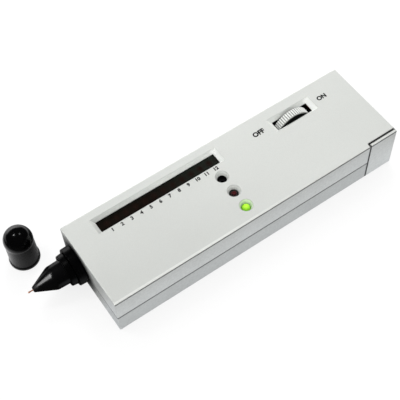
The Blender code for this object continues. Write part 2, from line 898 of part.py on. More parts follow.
def make_wheel():
    axis = carrier("wheel_axis", (slot_x, slot_y, wheel_z))
    half = WHEEL_WIDTH / 2
    bm = bmesh.new()
    bmesh.ops.create_circle(bm, cap_ends=True, radius=WHEEL_RADIUS, segments=RIB_COUNT * 3)
    groove = (WHEEL_RADIUS - RIB_DEPTH) / WHEEL_RADIUS
    bm.verts.ensure_lookup_table()
    for index, vert in enumerate(bm.verts):
        if index % 3 == 0:
            vert.co *= groove
    bmesh.ops.translate(bm, vec=(0, 0, -half), verts=bm.verts)
    grown = bmesh.ops.extrude_face_region(bm, geom=list(bm.faces))
    raised = [item for item in grown["geom"] if isinstance(item, bmesh.types.BMVert)]
    bmesh.ops.translate(bm, vec=(0, 0, WHEEL_WIDTH), verts=raised)
    # The rim's two edges are drawn in, so that the ribs end in a small slope.
    rim = [edge for edge in bm.edges if abs(edge.verts[0].co.z - edge.verts[1].co.z) < SEAT_GAP]
    bmesh.ops.bevel(
        bm, geom=rim, offset=RIB_ROUND, offset_type="OFFSET", affect="EDGES", segments=1, profile=0.5
    )
    bmesh.ops.recalc_face_normals(bm, faces=bm.faces)
    wheel = place("thumbwheel", bm, axis.location, "white_plastic", None)
    turn_to(wheel, "+Y")
    cuts = new_collection("wheel_cuts", cutters)
    rim_inside = WHEEL_RADIUS - WHEEL_RIM_DEPTH
    bore = SHAFT_RADIUS + SEAT_GAP
    cylinder("wheel_bore", bore, -half - OVERRUN, half + OVERRUN, axis.location, "+Y", home=cuts)
    for low, high in ((half - WHEEL_DISH, half + OVERRUN), (-half - OVERRUN, WHEEL_DISH - half)):
        turned(
            "wheel_dish",
            [(rim_inside, high), (rim_inside, low)],
            [(WHEEL_HUB_RADIUS, high), (WHEEL_HUB_RADIUS, low)],
            axis.location,
            "+Y",
            home=cuts,
        )
    boolean(wheel, "DIFFERENCE", cuts)

    bush_end = -half - POT_TO_WHEEL
    shaft_start = bush_end - POT_BUSH_LENGTH - POT_THICKNESS + POT_BACK + SEAT_GAP
    shaft_end = half - SEAT_GAP
    shaft = turned(
        "wheel_shaft",
        [(SHAFT_RADIUS, shaft_end), (SHAFT_RADIUS, shaft_start)],
        (),
        axis.location,
        "+Y",
        "steel",
        steps=SMALL_STEPS,
    )
    hole = cylinder(
        "shaft_hole",
        SHAFT_HOLE_RADIUS,
        shaft_end - SHAFT_HOLE_DEPTH,
        shaft_end + OVERRUN,
        axis.location,
        "+Y",
        home=cutters,
    )
    boolean(shaft, "DIFFERENCE", hole)
    turnscrew = make_wheel_screw(axis, half + SEAT_GAP)
    for obj in (wheel, shaft, turnscrew):
        ride(obj, axis)
    make_potentiometer(axis, bush_end)


def make_wheel_screw(axis, seat):
    # The head lies on the wheel's hub, and the shank runs into the shaft.
    profile = (
        (WHEEL_SCREW_RADIUS - HEAD_ROUND, WHEEL_SCREW_HEAD),
        (WHEEL_SCREW_RADIUS, WHEEL_SCREW_HEAD - HEAD_ROUND),
        (WHEEL_SCREW_RADIUS, 0),
        (WHEEL_SCREW_SHANK, 0),
        (WHEEL_SCREW_SHANK, SEAT_GAP - SHAFT_HOLE_DEPTH),
    )
    location = axis.location + Vector((0, seat, 0))
    obj = turned("wheel_screw", profile, (), location, "+Y", "steel", steps=TINY_STEPS)
    slot_half = WHEEL_SCREW_RADIUS + OVERRUN
    slot = block(
        "wheel_screw_slot",
        (-slot_half, WHEEL_SCREW_HEAD - DRIVE_DEPTH, -DRIVE_WIDTH / 2),
        (slot_half, WHEEL_SCREW_HEAD + OVERRUN, DRIVE_WIDTH / 2),
        home=cutters,
    )
    slot.location = location + slot.location
    boolean(obj, "DIFFERENCE", slot)
    return obj


def make_potentiometer(axis, bush_end):
    face = bush_end - POT_BUSH_LENGTH
    back = face - POT_THICKNESS
    bore = SHAFT_RADIUS + SHAFT_GAP
    profile = (
        (0, back + POT_BACK),
        (bore, back + POT_BACK),
        (bore, bush_end),
        (POT_BUSH_RADIUS, bush_end),
        (POT_BUSH_RADIUS, face),
        (POT_RADIUS - EDGE_ROUND, face),
        (POT_RADIUS, face - EDGE_ROUND),
        (POT_RADIUS, back),
    )
    pot = turned("potentiometer", profile, (), axis.location, "+Y", "steel")
    length, reach, thickness = POT_TAB
    y = axis.location.y + back
    tab = block(
        "pot_tab",
        (slot_x - length / 2, y - reach, board_under - SEAT_GAP - thickness),
        (slot_x + length / 2, y + EMBED, board_under - SEAT_GAP),
        home=cutters,
    )
    boolean(pot, "UNION", tab)


# Battery, its contacts, wires and door

def make_battery():
    low = (battery_front, battery_near, WALL + SEAT_GAP)
    high = (battery_rear, battery_far, top_under - SEAT_GAP)
    battery = block("battery", low, high, "battery_jacket")
    round_edges(battery, BATTERY_ROUND)
    centre = (Vector(low) + Vector(high)) / 2
    terminals = new_collection("terminals", cutters)
    for side, radius in zip((-1, 1), TERMINAL_RADII):
        cylinder(
            "terminal",
            radius,
            -EMBED,
            TERMINAL_HEIGHT,
            (centre.x, battery_far, centre.z + side * TERMINAL_OFFSET),
            "+Y",
            home=terminals,
        )
    boolean(battery, "UNION", terminals)
    width = BATTERY_THICKNESS - 2 * CONTACT_MARGINS[0]
    height = high[2] - low[2] - 2 * CONTACT_MARGINS[1]
    block(
        "battery_contact_plate",
        (centre.x - width / 2, contact_near, centre.z - height / 2),
        (centre.x + width / 2, contact_near + CONTACT_THICKNESS, centre.z + height / 2),
        "fibre",
    )
    plate_front = centre.x - width / 2
    for side, name in ((1, "red"), (-1, "black")):
        make_battery_lead(name, side, plate_front, centre.z)


def make_battery_lead(colour, side, plate_front, middle):
    # Out of the plate's edge, through the gap in the bay wall, round the boss and onto the board
    y = contact_near + CONTACT_THICKNESS / 2
    level = middle + side * BATTERY_LEAD_SPREAD
    landing = board_top + SEAT_GAP + BATTERY_LEAD_RADIUS
    turn = (post_x[1] + POST_RADIUS + bay_wall_front) / 2
    wheel_near = slot_y - WHEEL_WIDTH / 2
    spread = side * 1.5 * BATTERY_LEAD_RADIUS
    boss_near = post_y[1] - POST_RADIUS
    end_x = board_rear - 3 * BATTERY_LEAD_RADIUS
    points = (
        (plate_front - SEAT_GAP, y, level),
        (bay_front, y, level),
        (bay_wall_front, y - BATTERY_LEAD_RADIUS, level),
        (turn + spread, boss_near + POST_RADIUS / 2, (level + landing) / 2),
        (turn + spread, wheel_near, landing + BATTERY_LEAD_RADIUS),
        ((turn + end_x) / 2 + spread, wheel_near / 2, landing + EMBED),
        (end_x + spread, 0, landing),
    )
    wire(f"battery_lead_{colour}", smooth_route(points), BATTERY_LEAD_RADIUS, f"{colour}_wire")


def make_door():
    slide = carrier("door_slide", (door_front, near_y, 0))
    high = (rear_x, door_inside, CASE_HEIGHT)
    door = block("battery_door", (door_front, near_y, 0), high, "silver_paint")
    round_outside(door, lambda face: face.normal.y > 0.5 or face.normal.x < -0.5)
    hook = block(
        "door_hook",
        (door_front - HOOK_LENGTH, hook_outside, WALL + HOOK_END_GAP),
        (door_front + HOOK_LENGTH, hook_outside + HOOK_THICKNESS, top_under - HOOK_END_GAP),
        home=cutters,
    )
    boolean(door, "UNION", hook)
    grooves = new_collection("door_grooves", cutters)
    for level in (RAIL_LEVEL, CASE_HEIGHT - RAIL_LEVEL):
        half = RAIL_THICKNESS / 2 + SEAT_GAP
        block(
            "groove",
            (door_front - OVERRUN, bay_edge - RAIL_REACH - SEAT_GAP, level - half),
            (rear_x - RAIL_END + SEAT_GAP, door_inside + OVERRUN, level + half),
            home=grooves,
        )
    boolean(door, "DIFFERENCE", grooves)
    ride(door, slide)


# Nose and probe, all turned about one axis that points to -X

nose_root = (front_x, nose_y, NOSE_HEIGHT)


def make_nose():
    neck = -WALL - SEAT_GAP
    ring_start = COLLAR_LENGTH + SEAT_GAP
    turned(
        "nose_collar",
        (
            (COLLAR_RADII[1] - CORNER_ROUND, COLLAR_LENGTH),
            (COLLAR_RADII[1], COLLAR_LENGTH - CORNER_ROUND),
            (COLLAR_RADII[0], SEAT_GAP),
            (COLLAR_NECK_RADIUS, SEAT_GAP),
            (COLLAR_NECK_RADIUS, neck),
            (COLLAR_FLANGE_RADIUS, neck),
            (COLLAR_FLANGE_RADIUS, neck - COLLAR_FLANGE),
        ),
        ((TAIL_RADIUS + SEAT_GAP, COLLAR_LENGTH), (TAIL_RADIUS + SEAT_GAP, neck - COLLAR_FLANGE)),
        nose_root,
        "-X",
        "black_plastic",
    )
    turned(
        "nose_ring",
        (
            (RING_RADII[1] - CORNER_ROUND, ring_start + RING_LENGTH),
            (RING_RADII[1], ring_start + RING_LENGTH - CORNER_ROUND),
            (RING_RADII[0], ring_start),
        ),
        (
            (TUBE_RADII[0] + SEAT_GAP, ring_start + RING_LENGTH),
            (TUBE_RADII[0] + SEAT_GAP, ring_start),
        ),
        nose_root,
        "-X",
        "black_plastic",
    )
    outer = [
        (TIP_RADIUS - TIP_ROUND, TIP_HEIGHT),
        (TIP_RADIUS, TIP_HEIGHT - TIP_ROUND),
    ]
    outer += shoulder_points()
    outer += [
        (TUBE_RADII[0], ring_start),
        (TAIL_RADIUS, ring_start),
        (TAIL_RADIUS, -TAIL_LENGTH),
    ]
    inner = [
        (TIP_BORE_RADIUS, TIP_HEIGHT),
        (TIP_BORE_RADIUS, TIP_BORE_START),
        (NOSE_BORE_RADIUS, BORE_END),
        (NOSE_BORE_RADIUS, -TAIL_LENGTH),
    ]
    turned("nose_cone", outer, inner, nose_root, "-X", "black_plastic")


def shoulder_points():
    # The bend from the cone to the tube: a smooth curve drawn in by the corner where the two would meet
    start = Vector((CONE_START_RADIUS, CONE_START))
    end = Vector((TUBE_RADII[1], TUBE_END))
    slope = (CONE_START_RADIUS - TIP_RADIUS) / (TIP_HEIGHT - CONE_START)
    corner = Vector((TUBE_RADII[1], CONE_START - (TUBE_RADII[1] - CONE_START_RADIUS) / slope))
    points = []
    for step in range(5):
        t = step / 4
        point = start * (1 - t) ** 2 + corner * 2 * t * (1 - t) + end * t ** 2
        points.append(tuple(point))
    return points


def make_probe():
    axis = carrier("probe_axis", nose_root)
    pin = turned(
        "probe_pin",
        dome(PIN_HEAD_RADIUS, PIN_HEAD_RADIUS, PIN_END - PIN_HEAD_RADIUS)
        + [
            (PIN_HEAD_RADIUS, PIN_END - PIN_HEAD),
            (PIN_RADIUS, PIN_END - PIN_HEAD - (PIN_HEAD_RADIUS - PIN_RADIUS)),
            (PIN_RADIUS, PIN_START),
        ],
        (),
        nose_root,
        "-X",
        "copper",
        steps=TINY_STEPS,
    )
    pin_gap = PIN_RADIUS + SEAT_GAP
    bore_end = PIN_START - EMBED
    holder = turned(
        "probe_holder",
        (
            (HOLDER_NECK_RADIUS, HOLDER_END),
            (HOLDER_NECK_RADIUS, HOLDER_SHOULDER),
            (HOLDER_RADIUS - EDGE_ROUND, HOLDER_SHOULDER),
            (HOLDER_RADIUS, HOLDER_SHOULDER - EDGE_ROUND),
            (HOLDER_RADIUS, HOLDER_GUIDE),
            (HOLDER_STEM_RADIUS, HOLDER_GUIDE),
            (HOLDER_STEM_RADIUS, HOLDER_STEM_END),
        ),
        (
            (pin_gap, HOLDER_END),
            (pin_gap, bore_end),
            (HOLDER_BORE_RADIUS, bore_end),
            (HOLDER_BORE_RADIUS, HOLDER_STEM_END),
        ),
        nose_root,
        "-X",
        "ceramic",
        steps=SMALL_STEPS,
    )
    heater_top = PIN_START - SEAT_GAP
    heater_end = heater_top - HEATER_LENGTH
    heater = cylinder(
        "probe_heater", HEATER_RADIUS, heater_end, heater_top, nose_root, "-X", "copper", steps=TINY_STEPS
    )
    for obj in (pin, holder, heater):
        ride(obj, axis)
    stop_rear = -TAIL_LENGTH - SEAT_GAP
    turned(
        "spring_stop",
        (
            (STOP_RADIUS, STOP_FRONT),
            (STOP_RADIUS, stop_rear),
            (STOP_FLANGE_RADIUS, stop_rear),
            (STOP_FLANGE_RADIUS, stop_rear - STOP_FLANGE),
        ),
        ((STOP_BORE_RADIUS, STOP_FRONT), (STOP_BORE_RADIUS, stop_rear - STOP_FLANGE)),
        nose_root,
        "-X",
        "black_plastic",
        steps=SMALL_STEPS,
    )
    make_spring()
    make_probe_leads(heater_end)


def make_spring():
    low = STOP_FRONT + SEAT_GAP + SPRING_WIRE
    high = HOLDER_GUIDE - SEAT_GAP - SPRING_WIRE
    count = SPRING_TURNS * SPRING_POINTS
    points = []
    for index in range(count + 1):
        angle = 2 * math.pi * index / SPRING_POINTS
        height = low + (high - low) * index / count
        points.append(
            (
                front_x - height,
                nose_y + SPRING_RADIUS * math.cos(angle),
                NOSE_HEIGHT + SPRING_RADIUS * math.sin(angle),
            )
        )
    pitch = (high - low) / SPRING_TURNS
    gap = pitch - 2 * SPRING_WIRE
    print(f"The spring's turns are {gap * 1000:.2f} mm apart.")
    wire("probe_spring", points, SPRING_WIRE, "steel")


def make_probe_leads(heater_end):
    # Two thin wires from behind the pressed-in heater, out through the stem and the stop, up to the board
    start = front_x - heater_end + PROBE_TRAVEL + SEAT_GAP
    stop_end = front_x + TAIL_LENGTH + STOP_FLANGE
    landing = board_top + SEAT_GAP + PROBE_LEAD_RADIUS
    span = board_front - stop_end
    for number, side in ((1, -1), (2, 1)):
        y = nose_y + side * PROBE_LEAD_OFFSET
        points = (
            (start, y, NOSE_HEIGHT),
            ((start + stop_end) / 2, y, NOSE_HEIGHT),
            (stop_end, y, NOSE_HEIGHT),
            (stop_end + span / 2, y, (NOSE_HEIGHT + landing) / 2),
            (board_front, y, landing + PROBE_LEAD_RADIUS),
            (board_front + 6 * PROBE_LEAD_RADIUS, y, landing),
        )
        wire(
            f"probe_lead_{number}",
            smooth_route(points),
            PROBE_LEAD_RADIUS,
            "red_wire" if side < 0 else "black_wire",
        )


# Cap

def make_cap():
    stand = carrier("cap_stand", (front_x - CAP_FROM_FRONT, CAP_FROM_CENTRE, 0))
    profile = dome(CAP_DOME_RADIUS, CAP_DOME_RADIUS, CAP_DOME_CENTRE, 8)
    # The ball runs on below its middle, until it meets the slimmer body.
    neck = math.sqrt(CAP_DOME_RADIUS ** 2 - CAP_BODY_RADII[1] ** 2)
    for step in range(1, CAP_NECK_STEPS + 1):
        drop = neck * step / CAP_NECK_STEPS
        profile.append((math.sqrt(CAP_DOME_RADIUS ** 2 - drop ** 2), CAP_DOME_CENTRE - drop))
    profile += [
        (CAP_BODY_RADII[0], CAP_LIP + (CAP_MOUTH_RADIUS - CAP_BODY_RADII[0])),
        (CAP_MOUTH_RADIUS, CAP_LIP),
        (CAP_MOUTH_RADIUS, CORNER_ROUND),
        (CAP_MOUTH_RADIUS - CORNER_ROUND, 0),
        (CAP_BORE_RADII[0], 0),
    ]
    profile += reversed(dome(CAP_BORE_RADII[1], CAP_DEPTH - CAP_BORE_END, CAP_BORE_END, 6))
    cap = turned("cap", profile, (), stand.location, finish="black_plastic")
    ride(cap, stand)


def crease(obj):
    # Keeps the edges of a turned piece crisp, where it is shaded smooth.
    if any(modifier.type == "SCREW" for modifier in obj.modifiers):
        split = obj.modifiers.new("Crease", "EDGE_SPLIT")
        split.split_angle = CREASE_ANGLE


make_upper_shell()
make_lower_shell()
make_case_screws()
make_board_screws()
make_window_filter()
make_lights()
make_board()
make_chips()
make_trimmers()
make_wheel()
make_battery()
make_door()
make_nose()
make_probe()
make_cap()
for piece in parts.objects:
    crease(piece)
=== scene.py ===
import math

import bmesh
import bpy
from mathutils import Matrix, Vector


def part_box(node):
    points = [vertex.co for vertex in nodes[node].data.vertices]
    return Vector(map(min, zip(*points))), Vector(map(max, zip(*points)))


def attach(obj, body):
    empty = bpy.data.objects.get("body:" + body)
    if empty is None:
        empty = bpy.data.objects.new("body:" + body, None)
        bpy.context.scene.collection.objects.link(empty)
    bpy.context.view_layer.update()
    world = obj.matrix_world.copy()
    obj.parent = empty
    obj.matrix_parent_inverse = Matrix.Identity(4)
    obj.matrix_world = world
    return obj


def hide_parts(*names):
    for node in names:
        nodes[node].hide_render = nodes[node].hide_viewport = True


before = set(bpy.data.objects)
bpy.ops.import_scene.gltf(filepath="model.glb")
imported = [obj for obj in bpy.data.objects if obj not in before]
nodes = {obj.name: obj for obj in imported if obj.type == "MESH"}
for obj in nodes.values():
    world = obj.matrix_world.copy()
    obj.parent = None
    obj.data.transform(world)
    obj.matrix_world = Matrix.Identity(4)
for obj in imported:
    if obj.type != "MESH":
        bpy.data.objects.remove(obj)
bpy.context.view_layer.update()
print("Diamond tester: frame loaded,", len(nodes), "pieces")

# the case as modelled, from its middle: where its faces, its nose and the wells' middles are
case = {
    "rear": 0.0925,
    "far": 0.0275,
    "top": 0.0295,
    "noseRoot": (-0.0925, 0.0122, 0.0144),
    "greenWell": (-0.00435, -0.017872),
    "redWell": (-0.00435, -0.006801),
    "blackWell": (-0.00435, 0.00428),
}


# node helpers for materials

# between which readings a texture goes from one end of a tone to the other
usualReadings = (0.3, 0.7)
narrowReadings = (0.35, 0.65)
flakeReadings = (0.1, 0.9)


def startMaterial(name):
    material = bpy.data.materials.new(name)
    material.use_nodes = True
    tree = material.node_tree
    shader = tree.nodes["Principled BSDF"]
    return material, tree, shader


def objectCoordinates(tree, centre=(0, 0, 0), stretch=(1, 1, 1)):
    coordinates = tree.nodes.new("ShaderNodeTexCoord")
    mapping = tree.nodes.new("ShaderNodeMapping")
    mapping.vector_type = "TEXTURE"
    mapping.inputs["Location"].default_value = centre
    mapping.inputs["Scale"].default_value = stretch
    tree.links.new(coordinates.outputs["Object"], mapping.inputs["Vector"])
    return mapping.outputs["Vector"]


def noise(tree, vector, scale, detail=2.0, roughness=0.5):
    texture = tree.nodes.new("ShaderNodeTexNoise")
    texture.inputs["Scale"].default_value = scale
    texture.inputs["Detail"].default_value = detail
    texture.inputs["Roughness"].default_value = roughness
    tree.links.new(vector, texture.inputs["Vector"])
    return texture.outputs["Fac"]


def ramp(tree, factor, stops):
    node = tree.nodes.new("ShaderNodeValToRGB")
    elements = node.color_ramp.elements
    while len(elements) < len(stops):
        elements.new(0.5)
    for element, (place, colour) in zip(elements, stops):
        element.position = place
        element.color = (*colour, 1)
    tree.links.new(factor, node.inputs["Fac"])
    return node.outputs["Color"]


def blendColours(tree, factor, first, second, mode="MIX"):
    node = tree.nodes.new("ShaderNodeMix")
    node.data_type = "RGBA"
    node.blend_type = mode
    for socket, value in ((0, factor), (6, first), (7, second)):
        if isinstance(value, bpy.types.NodeSocket):
            tree.links.new(value, node.inputs[socket])
        elif socket == 0:
            node.inputs[0].default_value = value
        else:
            node.inputs[socket].default_value = (*value, 1)
    return node.outputs[2]


def spread(tree, factor, low, high, fromLow=usualReadings[0], fromHigh=usualReadings[1]):
    node = tree.nodes.new("ShaderNodeMapRange")
    node.inputs["From Min"].default_value = fromLow
    node.inputs["From Max"].default_value = fromHigh
    node.inputs["To Min"].default_value = low
    node.inputs["To Max"].default_value = high
    tree.links.new(factor, node.inputs["Value"])
    return node.outputs["Result"]


def mathNode(tree, operation, first, second):
    node = tree.nodes.new("ShaderNodeMath")
    node.operation = operation
    for socket, value in zip(node.inputs, (first, second)):
        if isinstance(value, bpy.types.NodeSocket):
            tree.links.new(value, socket)
        else:
            socket.default_value = value
    return node.outputs[0]


def product(tree, first, *others):
    for other in others:
        first = mathNode(tree, "MULTIPLY", first, other)
    return first


def largest(tree, first, *others):
    for other in others:
        first = mathNode(tree, "MAXIMUM", first, other)
    return first


def distanceFrom(tree, value, middle):
    return mathNode(tree, "ABSOLUTE", mathNode(tree, "SUBTRACT", value, middle), 0)


def vectorNode(tree, operation, first, second=None):
    node = tree.nodes.new("ShaderNodeVectorMath")
    node.operation = operation
    for socket, value in zip(node.inputs, (first, second)):
        if isinstance(value, bpy.types.NodeSocket):
            tree.links.new(value, socket)
        elif value:
            socket.default_value = value
    return node.outputs["Value" if operation in ("LENGTH", "DOT_PRODUCT") else "Vector"]


def distanceOnPlane(tree, vector, plane):
    # plane has 1 for the two axes that count and 0 for the third
    return vectorNode(tree, "LENGTH", vectorNode(tree, "MULTIPLY", vector, plane))


def distanceOutside(tree, vector, halfSize):
    # how far a point is outside a box round the vector's origin
    beyond = vectorNode(tree, "SUBTRACT", vectorNode(tree, "ABSOLUTE", vector), halfSize)
    return vectorNode(tree, "LENGTH", vectorNode(tree, "MAXIMUM", beyond, (0, 0, 0)))


def splitVector(tree, vector):
    node = tree.nodes.new("ShaderNodeSeparateXYZ")
    tree.links.new(vector, node.inputs["Vector"])
    return node.outputs


def addBump(tree, shader, height, strength, distance, under=None):
    bump = tree.nodes.new("ShaderNodeBump")
    bump.inputs["Strength"].default_value = strength
    bump.inputs["Distance"].default_value = distance
    tree.links.new(height, bump.inputs["Height"])
    if under:
        tree.links.new(under, bump.inputs["Normal"])
    tree.links.new(bump.outputs["Normal"], shader.inputs["Normal"])
    return bump.outputs["Normal"]


# how deep the bumps are taken to be
relief = {"wide": 0.00005, "peel": 0.00003, "fine": 0.00002, "flake": 0.00001}


def shade(base, amount):
    return tuple(min(1, max(0, channel * amount)) for channel in base)


def shadesOf(tree, factor, base, tones, readings=usualReadings):
    # one colour between its darker and its paler tone
    return ramp(tree, factor, [(reading, shade(base, tone)) for reading, tone in zip(readings, tones)])


# what a plain material has where its own look says nothing else
plainLook = {
    "cloud": 60, "grain": 2500, "metallic": 0, "coat": 0, "coatRoughness": 0.1, "specular": 0.5,
    "wave": 0.1, "texture": 0.15, "grey": (0.5, 0.5, 0.5),
}


def moulded(name, own):
    # any plain material: a cloudy colour, a fine grain, uneven gloss and two sizes of bump
    look = plainLook | own
    material, tree, shader = startMaterial(name)
    vector = objectCoordinates(tree)
    cloud = noise(tree, vector, look["cloud"], 3)
    grain = noise(tree, vector, look["grain"], 2)
    tones = (1 - look["vary"], 1 + look["vary"])
    tone = shadesOf(tree, cloud, look["colour"], tones)
    speck = shadesOf(tree, grain, look["grey"], tones, narrowReadings)
    tree.links.new(blendColours(tree, 0.5, tone, speck, "OVERLAY"), shader.inputs["Base Color"])
    polishAndPaintedLight = spread(tree, cloud, *look["roughness"])
    if "tip" in look:
        along = splitVector(tree, vector)["X"]
        polishAndPaintedLight = largest(tree, polishAndPaintedLight, spread(tree, along, look["tip"], 0, *look["tipAlong"]))
    tree.links.new(polishAndPaintedLight, shader.inputs["Roughness"])
    shader.inputs["Metallic"].default_value = look["metallic"]
    shader.inputs["Coat Weight"].default_value = look["coat"]
    shader.inputs["Coat Roughness"].default_value = look["coatRoughness"]
    shader.inputs["Specular IOR Level"].default_value = look["specular"]
    wide = addBump(tree, shader, cloud, look["wave"], relief["wide"])
    addBump(tree, shader, grain, look["texture"], relief["fine"], wide)
    return material


# how every brushed metal is streaked
brushing = {"detail": 4, "roughness": 0.6, "tones": (0.82, 1.1), "bump": 0.1}


def brushed(name, look):
    # turned or drawn metal: fine streaks round or along the piece
    material, tree, shader = startMaterial(name)
    vector = objectCoordinates(tree, stretch=look["stretch"])
    streak = noise(tree, vector, look["streaks"], brushing["detail"], brushing["roughness"])
    cloud = noise(tree, objectCoordinates(tree), look["cloud"], 3)
    tone = shadesOf(tree, streak, look["colour"], brushing["tones"])
    dull = blendColours(tree, spread(tree, cloud, 0, look["tarnish"]), tone, look["dull"])
    tree.links.new(dull, shader.inputs["Base Color"])
    tree.links.new(spread(tree, streak, *look["roughness"]), shader.inputs["Roughness"])
    shader.inputs["Metallic"].default_value = look["metallic"]
    addBump(tree, shader, streak, brushing["bump"], relief["fine"])
    return material


# silver paint: where light and shade are painted on it, and where it is bare, is told by the place on the case

paint = {
    "colour": (0.735, 0.752, 0.722),
    "rubbed": (0.64, 0.655, 0.64),
    "bareAndShade": (0.022, 0.022, 0.023),
    "flake": 5200,
    "flakeTones": (0.92, 1.07),
    "flakeShare": 0.45,
    "cloud": 14,
    "cloudTones": (0.975, 1.015),
    # a noise's scale, detail and roughness
    "rub": (38, 6, 0.65),
    "rubShare": (0, 0.16, 0.52, 0.8),
    "peel": 700,
    "peelBump": 0.12,
    "flakeBump": 0.05,
    "roughness": (0.32, 0.44),
    "bareRoughness": 0.6,
    "metallic": 0.34,
    # the skin that the spray reaches, and the troughs that it reaches too
    "rounding": 0.0010,
    "skin": (0.00068, 0.00076),
    "troughTop": (0.02660, 0.02675),
    "troughEnd": (0.0686, 0.0688),
    # near top edge: a painted shade line just under it, with a painted highlight line inside it on the top
    "cornerLine": (0.0284, 0.0286),
    "cornerEnd": (-0.02735, -0.02725),
    "cornerDark": 0.72,
    "edgeLine": (-0.0262, -0.0257),
    "edgeTop": (0.0292, 0.0294),
    "paintedEdgeLight": 0.2,
    "edgeFade": (-0.025, 0.035),
    # painted shade in the seam and in the door's two gaps
    "seam": 0.0139,
    "seamLine": (0.0004, 0.0009),
    "seamDark": 0.62,
    "seamEnd": (0.0733, 0.0736),
    "doorGap": 0.07375,
    "doorTop": -0.02535,
    "doorSide": (-0.02535, -0.02515),
    "doorLine": (0.0003, 0.0009),
    "doorTopLine": (0.0004, 0.0009),
    "doorDark": 0.95,
    # painted light on the slopes of the troughs, lighter towards the rear and on the ends that face the front
    "slopeLight": (0.0, 0.28),
    "slopeAlong": (-0.076, -0.037),
    "slopeTop": (0.0292, 0.0295),
    "slopeInward": (0.0262, 0.0266),
    "rearSlopes": (0.0022, 0.0660),
    "rearSlope": (0.0022, 0.0030),
    "rearLight": 0.2,
    # the wells' cones: painted light, and a painted shade ring at each rim
    "wells": ("greenWell", "redWell", "blackWell"),
    "wellReach": (0.00365, 0.0037),
    "wellLight": (0.08, 0.36),
    "wellSpread": (-0.0030, 0.0025),
    "wellRing": (0.00008, 0.0003),
    "wellRingDark": 0.22,
    # painted shade: the top darker towards the front and the near side, and the front round the nose
    "topShadeAlong": (-0.045, 0.045),
    "topShadeAcross": (-0.018, 0.022),
    "topShadeTop": (0.0290, 0.0294),
    "topShadeDark": 0.075,
    "frontFace": (-0.0923, -0.0920),
    "noseReach": (0.0122, 0.0190),
    "noseDark": 0.90,
    # coarser spray on the sides
    "mottle": (650, 2, 0.6),
    "mottleRange": (-0.05, 0.05, 0.35, 0.65),
    "mottleTop": (0.0284, 0.0290),
}


def unsprayedAndShaded(tree, vector, troughs):
    # 1 in the gaps and inside, where the spray doesn't reach, and 0 on the skin and in the sloped troughs; the
    # bare plastic there is near-black, which is also painted shade in the gaps and holes
    middle = case["top"] / 2
    core = tuple(half - paint["rounding"] for half in (case["rear"], case["far"], middle))
    reach = distanceOutside(tree, objectCoordinates(tree, centre=(0, 0, middle)), core)
    inside = spread(tree, reach, 1, 0, *paint["skin"])
    if not troughs:
        return inside
    place = splitVector(tree, vector)
    high = spread(tree, place["Z"], 0, 1, *paint["troughTop"])
    ahead = spread(tree, place["X"], 1, 0, *paint["troughEnd"])
    return mathNode(tree, "SUBTRACT", inside, product(tree, inside, high, ahead))


def paintedEdgeShade(tree, place):
    # painted shade in the seam and in the door's two gaps
    ahead = spread(tree, place["X"], 1, 0, *paint["seamEnd"])
    fromSeam = distanceFrom(tree, place["Z"], paint["seam"])
    seam = product(tree, spread(tree, fromSeam, paint["seamDark"], 0, *paint["seamLine"]), ahead)
    fromGap = distanceFrom(tree, place["X"], paint["doorGap"])
    gap = product(
        tree, spread(tree, fromGap, paint["doorDark"], 0, *paint["doorLine"]),
        spread(tree, place["Y"], 1, 0, *paint["doorSide"]),
    )
    fromTop = distanceFrom(tree, place["Y"], paint["doorTop"])
    above = product(
        tree, spread(tree, fromTop, paint["doorDark"], 0, *paint["doorTopLine"]),
        mathNode(tree, "SUBTRACT", 1, ahead),
    )
    # painted shade line on the near face just under the top edge
    corner = product(
        tree, spread(tree, place["Z"], 0, paint["cornerDark"], *paint["cornerLine"]),
        spread(tree, place["Y"], 1, 0, *paint["cornerEnd"]),
    )
    return largest(tree, seam, gap, above, corner)


def paintedEdgeLight(tree, place):
    # painted highlight line along the top's near edge
    line = product(
        tree, spread(tree, place["Y"], paint["paintedEdgeLight"], 0, *paint["edgeLine"]),
        spread(tree, place["X"], 1, 0, *paint["edgeFade"]),
        spread(tree, place["Z"], 0, 1, *paint["edgeTop"]),
    )
    # painted light on the troughs' slopes
    slope = spread(tree, place["X"], *paint["slopeLight"], *paint["slopeAlong"])
    for end in paint["rearSlopes"]:
        fromEnd = distanceFrom(tree, place["X"], end)
        slope = mathNode(tree, "ADD", slope, spread(tree, fromEnd, paint["rearLight"], 0, *paint["rearSlope"]))
    slope = product(
        tree, slope,
        spread(tree, place["Z"], 1, 0, *paint["slopeTop"]),
        spread(tree, mathNode(tree, "ABSOLUTE", place["Y"], 0), 1, 0, *paint["slopeInward"]),
        spread(tree, place["Z"], 0, 1, *paint["troughTop"]),
    )
    return largest(tree, line, slope)


